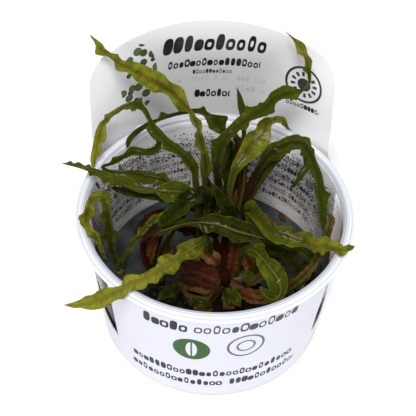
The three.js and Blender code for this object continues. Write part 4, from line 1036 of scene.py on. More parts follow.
# The margins of the leaves that show most, as (length, width) in millimetres from the midrib: the right-hand margin,
# then the left-hand one, seen along the leaf from foot to tip. They are drawn straight and rounded off.
MARGIN_ROUNDING = 1
MARGINS = {
    "tall_left": (
        [(44, 0.7), (49, 2.0), (51, 3.2), (54, 2.0), (58, 1.6), (62, 1.0), (66, 1.0), (68, 0.9), (71, 2.0), (73, 0.9),
         (77, 0.6), (80, 1.9), (82, 3.2), (84, 3.7), (86, 2.9), (88, 2.7), (90, 3.6), (92, 3.8), (94, 3.4), (97, 3.6),
         (100, 3.5), (104, 3.3), (106, 2.8), (108, 1.7), (110, 2.1), (111, 2.7), (113, 1.3), (116, 1.0), (118, 1.4),
         (120, 0.9), (122, 0.4), (124, 0.5), (126, 0.3)],
        [(44, 0.7), (47, 1.6), (50, 2.0), (54, 2.1), (58, 1.1), (60, 1.1), (62, 1.7), (64, 2.9), (65.5, 1.4),
         (67, 2.2), (69, 0.5), (71, 1.4), (73, 1.6), (75.5, 0.7), (77, 1.8), (78.5, 3.2), (80, 3.0), (82, 2.7),
         (84, 2.0), (86, 1.5), (88, 1.9), (90, 3.4), (92, 3.5), (94, 2.9), (98, 3.0), (100, 2.4), (102, 1.4),
         (104, 1.7), (106, 2.7), (107.5, 2.9), (109.5, 0.7), (113, 0.5), (115, 1.8), (117, 3.1), (119, 1.0),
         (121, 0.4), (124, 0.8), (126, 0.3)],
    ),
    "left_arch": (
        [(44, 0.9), (49, 2.4), (54, 2.6), (57, 1.9), (60, 2.0), (64, 1.5), (68, 1.6), (71, 1.2), (73, 0.7), (78, 0.7),
         (79.6, 1.4), (80.8, 3.1), (82, 1.2), (85, 0.8), (90, 1.0), (98, 1.1), (101, 1.2), (103, 1.8), (104.5, 0.6),
         (107, 1.3), (110, 1.8), (114, 1.6), (120, 1.6), (123, 1.2), (126, 0.3)],
        [(44, 0.9), (49, 1.0), (52, 1.5), (56, 0.9), (59, 1.1), (61, 2.0), (63, 2.8), (65, 1.0), (67, 2.5), (69, 2.6),
         (71, 2.6), (72.5, 0.8), (77, 1.2), (81, 1.8), (83, 2.6), (84.2, 3.3), (85.5, 1.6), (87.5, 1.5), (89, 0.8),
         (96, 0.8), (100, 1.2), (103, 1.5), (106, 1.4), (108, 2.0), (111, 2.9), (113, 2.5), (114.5, 1.5), (117, 2.1),
         (119, 1.5), (120.5, 0.5), (124, 0.8), (126, 0.3)],
    ),
    "back_arch": (
        [(54, 0.8), (58, 1.0), (59.5, 2.2), (61, 4.6), (62.5, 3.6), (64, 2.1), (65.5, 0.8), (67.5, 0.7), (68.6, 2.3),
         (69.8, 0.8), (73, 0.9), (80, 0.6), (83, 0.7), (85.5, 2.6), (87.5, 0.4), (92, 0.8), (98, 1.0), (104, 1.0),
         (110, 0.6), (114, 0.3)],
        [(54, 0.8), (57, 0.9), (59, 2.3), (61, 3.0), (63, 3.6), (64.5, 2.6), (67, 1.4), (72, 0.8), (80, 0.8),
         (88, 0.8), (94, 1.2), (100, 1.2), (106, 1.0), (114, 0.3)],
    ),
    "tall_right": (
        [(52, 1.6), (62, 1.5), (66, 1.6), (69, 1.4), (71, 2.7), (72.5, 2.0), (73.5, 1.0), (76, 1.6), (78, 2.2),
         (79.5, 3.1), (81, 3.0), (82.4, 4.0), (84, 2.5), (86, 1.7), (88, 1.2), (90, 1.0), (92, 1.7), (94, 2.7),
         (96, 3.1), (97.5, 1.7), (99, 0.7), (101, 0.8), (102, 1.0), (104, 0.6), (107, 0.7), (110, 2.0), (111, 1.6),
         (112.5, 1.0), (114, 1.5), (116, 1.7), (118, 1.1), (120, 0.5), (123, 0.2)],
        [(48, 1.2), (54, 2.2), (58, 3.0), (60, 3.5), (61.3, 4.6), (62.6, 2.6), (66, 2.1), (70, 2.5), (73, 2.7),
         (74.5, 2.7), (76, 4.7), (77.3, 3.0), (80, 2.0), (81.8, 2.5), (83, 1.5), (85, 1.8), (88, 3.0), (90, 3.2),
         (92, 3.4), (94, 2.8), (96, 1.2), (99, 0.7), (104, 0.5), (106, 0.9), (107.5, 2.5), (108.6, 1.1), (111, 0.6),
         (112.5, 0.8), (114, 2.3), (116, 1.6), (118, 0.8), (120, 0.3), (123, 0.15)],
    ),
    "light_green": (
        [(40, 0.9), (46, 1.5), (52, 3.0), (57, 4.6), (61, 4.9), (64, 4.2), (66, 3.2), (67.5, 1.5), (69, 1.0),
         (72, 1.5), (75, 1.8), (77.5, 1.0), (79, 1.6), (81, 0.5), (84, 0.2)],
        [(40, 0.9), (48, 1.4), (54, 2.2), (59, 3.5), (61.5, 3.5), (63.5, 2.1), (66, 3.3), (69, 2.7), (71, 1.0),
         (76, 0.9), (77.5, 1.2), (80, 0.7), (84, 0.2)],
    ),
    "right_arch": (
        [(38, 1.1), (48, 1.3), (52, 2.0), (54.5, 3.8), (57, 3.0), (60, 3.5), (62, 1.9), (66, 2.2), (69, 3.4),
         (72, 3.7), (74.5, 2.8), (80, 2.7), (83, 2.7), (86, 1.6), (90, 1.4), (93, 1.8), (95, 1.1), (99, 1.3),
         (106, 0.5)],
        [(38, 1.1), (47, 1.4), (52, 2.4), (54, 2.9), (56, 2.9), (58, 2.1), (60, 2.6), (64, 2.9), (66, 2.3),
         (68.5, 3.0), (71, 2.4), (72.5, 1.5), (74, 2.0), (75.5, 1.0), (78, 0.8), (82, 1.2), (86, 1.6), (91, 1.9),
         (92, 2.4), (93.2, 4.4), (95, 2.7), (98, 2.1), (103, 1.8), (106, 0.6)],
    ),
    "left_low": (
        [(40, 1.0), (44, 3.0), (48, 3.8), (50, 3.4), (53, 2.0), (55, 0.6), (58, 0.8), (60, 1.3), (62, 2.6), (65, 3.1),
         (68, 2.9), (70, 1.8), (74, 1.4), (80, 1.0), (81.5, 0.9), (83, 2.0), (84.5, 0.7), (87, 1.6), (89, 0.5),
         (90.5, 1.5), (92, 0.6), (94, 0.3)],
        [(40, 1.0), (44, 2.8), (48, 3.6), (51, 4.4), (53, 2.8), (55, 0.9), (58, 1.4), (60, 1.4), (63, 0.8), (67, 0.7),
         (69, 1.6), (71, 3.1), (72.5, 1.8), (74.5, 3.4), (77, 1.8), (79, 1.3), (81, 2.3), (82.5, 0.8), (86, 0.7),
         (94, 0.3)],
    ),
    "left_vein": (
        [(40, 1.0), (44, 1.7), (45.3, 2.8), (47.5, 1.1), (51, 1.5), (56, 0.9), (60, 0.6), (68, 0.6), (72, 0.4),
         (76, 0.9), (82, 1.1), (86, 1.0), (90, 1.6), (94, 2.3), (97, 1.2), (100, 0.5), (107, 0.3)],
        [(40, 1.0), (45, 2.2), (50, 3.2), (54, 3.2), (58, 2.2), (62, 1.4), (68, 0.8), (72, 0.6), (74, 1.2),
         (76, 2.1), (78, 1.4), (81, 0.8), (83, 1.1), (85.5, 2.6), (88, 1.9), (91, 0.7), (94, 0.7), (99, 1.1),
         (102, 0.6), (107, 0.3)],
    ),
    "left_curl": (
        [(0, 0.9), (2, 1.4), (5, 2.7), (8, 2.6), (10, 1.5), (12, 1.2), (14, 2.1), (18, 2.4), (20.5, 2.4), (22, 4.3),
         (23.4, 4.7), (25, 2.4), (27, 1.7), (32, 1.2), (36, 1.2), (40, 1.8), (42, 3.4), (43.5, 1.9), (47, 1.5),
         (50, 1.0), (52, 0.8), (54, 2.2), (55.2, 2.4), (56, 1.7), (57, 2.1), (59, 1.0), (61, 2.0), (64, 1.8),
         (67, 1.0), (74, 0.8), (84, 0.6)],
        [(0, 0.9), (8, 0.8), (12, 1.0), (15, 1.4), (17.5, 3.0), (20, 3.4), (22, 2.1), (26, 1.3), (29, 1.5), (31, 2.2),
         (33, 3.4), (34.5, 2.9), (36, 1.5), (42, 1.3), (47, 1.3), (50, 2.8), (54, 3.4), (56, 2.0), (58, 1.0),
         (62, 1.5), (64, 1.6), (68, 0.9), (74, 0.8), (84, 0.5)],
    ),
    "left_diagonal": (
        [(0, 0.8), (8, 1.2), (12, 1.6), (18, 1.1), (24, 0.9), (29, 1.4), (34, 1.8), (40, 1.4), (46, 0.4)],
        [(0, 0.8), (8, 0.8), (12, 0.5), (17, 0.7), (22, 1.4), (24, 0.8), (26, 1.9), (28, 2.2), (29.5, 0.9),
         (33, 0.6), (37, 1.5), (41, 1.0), (46, 0.4)],
    ),
    "front_left": (
        [(26, 1.2), (30, 2.2), (34, 2.0), (37, 3.0), (40, 3.4), (43, 3.5), (44.6, 1.6), (46.3, 1.4), (48, 3.2),
         (50, 3.9), (53.5, 3.9), (56, 1.7), (59, 1.8), (62, 1.6), (64, 1.5), (66, 2.9), (68.3, 3.7), (70.5, 2.4),
         (72, 1.2), (74, 1.6), (76, 2.6), (79, 3.3), (82, 2.6), (84, 2.9), (87, 1.8), (90, 1.0), (94, 0.2)],
        [(26, 1.2), (31, 1.5), (33, 2.6), (34.5, 4.3), (36.5, 3.7), (39, 4.0), (41, 3.4), (43.5, 2.2), (46.5, 1.9),
         (49, 3.1), (52, 4.0), (54, 3.3), (56, 1.8), (57.5, 2.4), (59.3, 3.7), (61, 2.6), (62.2, 2.3), (64, 3.5),
         (66, 3.0), (68, 2.1), (70, 1.9), (72.5, 3.4), (74, 2.6), (76, 2.4), (79, 2.9), (82, 2.6), (84, 2.1),
         (87, 0.8), (89, 0.9), (94, 0.2)],
    ),
    "across": (
        [(26, 1.0), (32, 2.0), (34, 1.0), (36.3, 2.5), (38.5, 0.9), (44, 0.8), (48, 1.7), (50, 3.3), (52, 4.0),
         (54, 2.7), (57, 3.4), (59.5, 3.0), (62, 4.4), (65, 3.6), (69, 1.6), (72, 1.0), (77, 1.6), (81, 1.3),
         (86, 0.8), (94, 1.2), (101, 0.4)],
        [(26, 1.0), (33, 1.8), (38, 3.0), (41, 3.0), (44, 1.9), (48, 0.8), (50, 2.2), (52.5, 3.5), (54.5, 3.8),
         (56.5, 3.3), (58.5, 4.3), (61, 4.1), (64, 4.2), (67, 4.2), (70, 3.0), (75, 2.4), (80, 1.8), (90, 1.6),
         (101, 0.4)],
    ),
    "right_over": (
        [(34, 1.6), (40, 2.4), (46, 2.2), (48, 2.2), (50, 2.9), (53, 3.5), (55.5, 4.5), (58, 4.0), (61.5, 3.9),
         (63.5, 2.2), (66, 1.6), (67.7, 2.0), (68.8, 3.1), (70, 1.9), (71.5, 3.5), (72.6, 1.8), (75, 0.9),
         (76.5, 1.2), (77.7, 2.4), (79.5, 0.7), (81, 0.8), (82.5, 1.0), (85, 0.3)],
        [(34, 1.6), (38, 3.4), (41, 2.2), (44, 2.4), (46, 2.2), (48, 3.1), (49.3, 2.0), (52, 1.3), (54.5, 1.6),
         (58.3, 3.3), (60.2, 1.1), (62, 2.8), (65, 4.0), (67, 3.3), (68.3, 2.1), (70, 3.2), (72, 3.8), (74, 2.7),
         (77, 2.2), (78.5, 1.5), (81.5, 1.6), (83, 0.9), (85, 0.3)],
    ),
    "lower_right": (
        [(18, 1.0), (24, 1.3), (28, 2.4), (31, 1.8), (34, 2.3), (36, 3.3), (40, 3.7), (46, 4.3), (50, 3.8), (56, 2.9),
         (59, 2.2), (63, 0.4)],
        [(18, 1.0), (24, 1.5), (28, 2.6), (30.5, 4.3), (33, 2.9), (37, 1.9), (39, 3.1), (42, 3.6), (45, 3.2),
         (48, 2.3), (51, 1.2), (56, 1.4), (59, 1.0), (63, 0.4)],
    ),
    "thick_blade": (
        [(38, 1.2), (44, 3.0), (48, 2.6), (52, 3.4), (56, 2.4), (60, 2.8), (64, 1.6), (68, 0.4)],
        [(38, 1.2), (43, 2.6), (48, 3.6), (51, 2.8), (55, 3.4), (58, 2.2), (62, 2.4), (68, 0.4)],
    ),
    "down_right": (
        [(26, 1.2), (31, 2.2), (34, 1.8), (37, 3.2), (41, 2.6), (45, 1.6), (49, 0.9), (54, 0.3)],
        [(26, 1.2), (30, 2.0), (35, 2.8), (38, 2.0), (41, 2.6), (45, 1.4), (50, 0.8), (54, 0.3)],
    ),
}


def through_rows(rows, samples):
    """Uniform Catmull-Rom through rows: each span is a cubic whose slopes are half the step between the rows on
    either side of its ends, and the first and last row count twice."""
    rows = np.array(rows, float)
    padded = np.concatenate([rows[:1], rows, rows[-1:]])
    at = np.linspace(0, len(rows) - 1, (len(rows) - 1) * samples + 1)
    k = np.minimum(at.astype(int), len(rows) - 2)
    t = (at - k)[:, None]
    a, b, c, d = padded[k], padded[k + 1], padded[k + 2], padded[k + 3]
    leaving, arriving, rise = (c - a) / 2, (d - b) / 2, c - b
    return b + t * (leaving + t * (3 * rise - 2 * leaving - arriving + t * (leaving + arriving - 2 * rise)))


def leaf_frame(rows, step):
    """Stations at equal steps of length along the midrib: place, side, normal, half width and length so far. The
    normal is the way to the light, less its part along the leaf, turned by the roll about the leaf. A row that says
    no roll has none."""
    fine = through_rows([(*row, 0)[:5] for row in rows], SPAN_SAMPLES)
    middle = fine[:, :3]
    length = np.concatenate([[0], np.cumsum(np.linalg.norm(np.diff(middle, axis=0), axis=1))])
    index = np.arange(len(fine))
    along = middle[np.minimum(index + 2, len(fine) - 1)] - middle[np.maximum(index - 3, 0)]
    stations = np.linspace(0, length[-1], int(length[-1] / step) + 1)

    def at_stations(values):
        """Each column of the values, read off at the stations in straight steps."""
        return np.stack([np.interp(stations, length, column) for column in values.T], -1)

    along = at_stations(along)
    along /= np.linalg.norm(along, axis=1, keepdims=True)
    normal = UP_TO_LIGHT - along * (along @ UP_TO_LIGHT)[:, None]
    normal /= np.linalg.norm(normal, axis=1, keepdims=True)
    roll = np.radians(np.interp(stations, length, fine[:, 4]))[:, None]
    normal = normal * np.cos(roll) + np.cross(along, normal) * np.sin(roll)
    half_width = np.interp(stations, length, fine[:, 3])
    return at_stations(middle), np.cross(along, normal), normal, half_width, stations


def margin_lobes(length, lobe_length, chance):
    """The lobes of one margin. Their lengths, sizes and sways come by chance, and each is a power of a sine between
    two clefts. Returns the lobes' outward and sideways profiles, and the number of lobes so far."""
    count = int(1.8 * length[-1] / lobe_length) + 4
    ends = np.cumsum(lobe_length * chance.uniform(0.6, 1.45, count)) - lobe_length * chance.uniform(0.6, 1.6)
    number = np.interp(length, ends, np.arange(count))
    k = number.astype(int)
    profile = np.sin(np.pi * (number - k) ** 0.85) ** 0.6
    outward = profile * chance.uniform(0.35, 1.25, count + 1)[k]
    sideways = profile * chance.uniform(-0.8, 1.1, count + 1)[k]
    return outward, sideways, number


def margin_width(length, points):
    """A margin's distance from the midrib at each length: straight between the points, then each value is the mean
    of as many neighbours on either side as the rounding says, and itself."""
    width = np.interp(length, *np.array(points, float).T)
    padded = np.pad(width, MARGIN_ROUNDING, mode="edge")
    window = 2 * MARGIN_ROUNDING + 1
    return np.mean([padded[k:k + len(width)] for k in range(window)], axis=0)


def leaf_surface(rows, lobe_length, lobe_depth, ruffle, seed, margins):
    """A closed thin blade. Across the leaf u goes from -1 to 1. The margin's distance from the midrib is the one read
    for this leaf, or else the half width times the lobes' outward profile, with fine sine scallops either way. The
    blade lifts off its middle plane by a fold that grows with |u|, by the lobes' sideways profile that grows with the
    square of u, and by a sine quilting between the side veins. The midrib is a bell curve on both faces. Where the
    foot is narrow it is a petiole, an ellipse. Returns points, faces, and for each point u, length, blade share, lobe
    number and face."""
    middle, side, normal, half_width, length = leaf_frame(rows, LEAF_STEP)
    whole = length[-1]
    chance = np.random.default_rng(seed)
    blade = np.maximum.accumulate(smooth_share(half_width, BLADE_STARTS, BLADE_WHOLE))[:, None]
    to_tip = np.sqrt(np.clip((whole - length) / TIP_LENGTH, 0.0, 1))[:, None]
    width = half_width[:, None] * to_tip
    turn = np.linspace(-np.pi / 2, np.pi / 2, TOP_POINTS)
    top_u = np.sin(turn) * 0.55 + np.linspace(-1, 1, TOP_POINTS) * 0.45
    u = np.concatenate([top_u, top_u[-2:0:-1]])[None, :]
    face = np.concatenate([np.ones(TOP_POINTS), -np.ones(TOP_POINTS - 2)])[None, :] + 0 * width
    right, left = (margin_lobes(length, lobe_length, chance) for _ in range(2))
    share_right = smooth_share(u, -0.12, 0.12)
    outward, sideways, number = (l[:, None] + (r - l)[:, None] * share_right for r, l in zip(right, left))
    uneven = 3 * np.sin(length / 2.7 + seed)
    crenulation = np.sin(2 * np.pi * length / CRENULATION_LENGTH + uneven)[:, None]
    if margins:
        right_width, left_width = (margin_width(length, points)[:, None] for points in margins)
        extra = np.where(u > 0, right_width, left_width) / half_width[:, None] - 1 + 0 * u
    else:
        extra = lobe_depth * (2.2 * outward - 1.1) * np.abs(u) ** 1.5
    reach = 1 + blade * (extra + CRENULATION * crenulation * np.abs(u) ** 1.5)
    fold = FOLD * np.abs(u) ** 1.4
    flutter = 1.3 * sideways + 0.12 * crenulation * sideways
    lift = half_width[:, None] * blade * (fold + ruffle * flutter * np.abs(u) ** 2.1) * to_tip
    stalk = np.minimum(width, STALK_THICKNESS) * np.sqrt(1 - u**2)
    rib = RIB_HEIGHT * np.exp(-((u * width / RIB_HALF_WIDTH) ** 2))
    leaf = (BLADE_HALF_THICKNESS + rib) * np.sqrt(1 - u**8) * np.clip(to_tip, 0.15, 1)
    quilt = QUILT * blade * np.sin(4 * np.pi * (number - 0.35 * np.abs(u))) * np.abs(u) * (1 - u**2)
    quilt *= 0.55 + 0.45 * np.sin(length / 2.1 + seed)[:, None]
    thickness = stalk * (1 - blade) + leaf * blade
    offset = lift + quilt * np.minimum(width, 2) + face * thickness
    points = middle[:, None] + side[:, None] * (u * width * reach)[..., None] + normal[:, None] * offset[..., None]
    points = np.concatenate([points.reshape(-1, 3), middle[:1], middle[-1:]])
    along = length[:, None] + 0 * u
    ends = ((u + 0 * width, 0, 0), (along, 0, whole), (blade + 0 * u, 0, 1), (number, 0, number[-1, 0]), (face, 1, 1))
    values = [np.concatenate([value.ravel(), [start, end]]) for value, start, end in ends]
    return points, capped_faces(len(length), u.shape[1]), values


# What all blades share: masks of the broad midrib, of its bright line, of the thin margin and of the side veins, a
# mottle and a height.
blade_detail, here, out = new_group(
    "blade_detail", {"Across": 0.0, "Lobe": 0.0}, ["Rib", "Line", "Margin", "Vein", "Mottle", "Height"]
)
place = object_place(blade_detail)
off_rib = abs(here["Across"])
rib_mask = rescale(off_rib, 0.1, 0.45, 1.0, 0.0)
line_mask = rescale(off_rib, 0.02, 0.15, 1.0, 0.0)
margin_mask = rescale(off_rib, 0.84, 0.97)
forward = here["Lobe"] - off_rib * 0.35
vein_mask = rescale(abs(maths("SINE", forward * (2 * math.pi))), 0.0, 0.22, 1.0, 0.0)
mottle = noise(place, 260.0, 4.0, 0.6)
grain = noise(place, 900.0, 2.0, 0.6)
pucker = maths("SINE", (forward + mottle) * (2 * math.pi)) * (off_rib * off_rib)
height = grain * 0.5 + vein_mask * -0.35 + mottle * 0.5 + pucker * 1.3
blade_values = {
    "Rib": rib_mask, "Line": line_mask, "Margin": margin_mask, "Vein": vein_mask, "Mottle": mottle, "Height": height,
}
for socket, value in blade_values.items():
    feed(out[socket], value)


def leaf_attribute(tree, name):
    """A number that a leaf's points carry, by its name."""
    node = tree.nodes.new("ShaderNodeAttribute")
    node.attribute_name = name
    return Number(node.outputs["Fac"])


def leaf_material(name, coat, dark, middle, light, rib, line, margin_and_highlight, vein, under, stalk_green, stalk_red, roughness):
    """A leaf's material: its tone goes from dark over middle to light, with colours of its own for the midrib, the
    side veins, the underside, and a petiole from green to red, and a lighter margin that is partly its own colour and
    partly a painted highlight. The coat is the wet film on it."""
    material, tree, shader = new_material(
        name, IOR=1.06, Specular_IOR_Level=0.1, Coat_Weight=coat, Coat_Roughness=0.06
    )
    blade, redness, plain_tone, across, lobe, face, rib_light = (
        leaf_attribute(tree, label) for label in ("blade", "redness", "tone", "across", "lobe", "face", "rib_light")
    )
    detail = use_group(tree, blade_detail, Across=across, Lobe=lobe)
    tone = plain_tone + rescale(detail["Mottle"], 0.3, 0.7, -0.13, 0.13, "LINEAR")
    colour = mix_colours(rescale(tone, 0.0, 0.5), dark, middle)
    colour = mix_colours(rescale(tone, 0.5, 1.0), colour, light)
    colour = mix_colours(detail["Vein"] * 0.35, colour, vein)
    colour = mix_colours(detail["Rib"] * 0.9, colour, rib, "MULTIPLY")
    colour = mix_colours(detail["Rib"] * redness * 0.85, colour, stalk_red)
    colour = mix_colours(detail["Line"] * rib_light, colour, line)
    # The lighter margin is partly its own colour and partly a painted highlight.
    colour = mix_colours(detail["Margin"] * rescale(tone, 0.0, 1.0, 0.1, 0.6, "LINEAR"), colour, margin_and_highlight)
    colour = mix_colours(rescale(face, -0.5, 0.5, 0.6, 0.0), colour, under)
    # Where the leaf is darkest, low down, its red shows through all of it.
    colour = mix_colours(redness * rescale(plain_tone, 0.0, 0.3, 0.95, 0.0), colour, stalk_red)
    colour = mix_colours(blade, mix_colours(redness, stalk_green, stalk_red), colour)
    feed(shader.inputs["Base Color"], colour)
    feed(shader.inputs["Roughness"], rescale(detail["Mottle"], 0.3, 0.7, roughness - 0.06, roughness + 0.1))
    roughen(shader, detail["Height"], 0.7, 0.0004)
    return material


green_leaf = leaf_material(
    "green_leaf", 0.05, dark=(0.004, 0.008, 0.001, 1), middle=(0.036, 0.045, 0.003, 1), light=(0.185, 0.19, 0.016, 1),
    rib=(0.72, 0.6, 0.7, 1), line=(0.17, 0.155, 0.035, 1), margin_and_highlight=(0.13, 0.17, 0.006, 1),
    vein=(0.02, 0.026, 0.003, 1), under=(0.06, 0.08, 0.025, 1), stalk_green=(0.035, 0.038, 0.006, 1),
    stalk_red=(0.016, 0.004, 0.002, 1), roughness=0.3,
)
dry_leaf = leaf_material(
    "old_leaf", 0.01, dark=(0.008, 0.003, 0.002, 1), middle=(0.06, 0.02, 0.006, 1), light=(0.17, 0.08, 0.028, 1),
    rib=(0.6, 0.45, 0.4, 1), line=(0.09, 0.04, 0.015, 1), margin_and_highlight=(0.14, 0.06, 0.015, 1),
    vein=(0.03, 0.013, 0.005, 1), under=(0.06, 0.028, 0.01, 1), stalk_green=(0.06, 0.035, 0.01, 1),
    stalk_red=(0.03, 0.008, 0.004, 1), roughness=0.36,
)
olive_leaf = leaf_material(
    "olive_leaf", 0.03, dark=(0.012, 0.01, 0.003, 1), middle=(0.045, 0.036, 0.008, 1), light=(0.14, 0.11, 0.025, 1),
    rib=(0.6, 0.5, 0.5, 1), line=(0.09, 0.06, 0.015, 1), margin_and_highlight=(0.08, 0.06, 0.012, 1),
    vein=(0.02, 0.014, 0.004, 1), under=(0.05, 0.035, 0.01, 1), stalk_green=(0.05, 0.04, 0.01, 1),
    stalk_red=(0.03, 0.012, 0.005, 1), roughness=0.42,
)
OLIVE_LEAVES = ("wall_right", "wall_tip", "old_loop")
# How strongly the thin bright line along the midrib shows. On the other leaves it doesn't.
RIB_LIGHT = {"across": 0.5, "lower_right": 0.45, "left_low": 0.3, "front_left": 0.4, "right_over": 0.12}


def add_attributes(piece, values):
    """Stores a number for each point of a piece under each name."""
    for label, numbers in values.items():
        attribute = piece.data.attributes.new(label, "FLOAT", "POINT")
        attribute.data.foreach_set("value", numbers.astype(np.float32))


for seed, (name, rows) in enumerate(LEAVES.items()):
    slot, lobe_length, lobe_depth, ruffle, redness, tones = LEAF_LOOKS[name]
    leaf_points, leaf_faces, (across, along, blade_share, lobe, face) = leaf_surface(
        rows, lobe_length, lobe_depth, ruffle, seed, MARGINS.get(name)
    )
    material = olive_leaf if name in OLIVE_LEAVES else dry_leaf if slot == "leaf_old" else green_leaf
    leaf = add_piece("blade_" + name, leaf_points, leaf_faces, material, slot, "leaf_" + name)
    share_along = along / along.max()
    # Each leaf's tone is partly its own colour and partly painted shade, mostly darker towards the foot.
    tone = np.interp(share_along, np.linspace(0, 1, len(tones)), tones)
    red = redness * np.clip(1.15 - 1.3 * share_along, 0, 1)
    add_attributes(leaf, {
        "across": across, "blade": blade_share, "lobe": lobe, "face": face, "tone": tone, "redness": red,
        "rib_light": np.full(len(tone), RIB_LIGHT.get(name, 0.0)),
    })

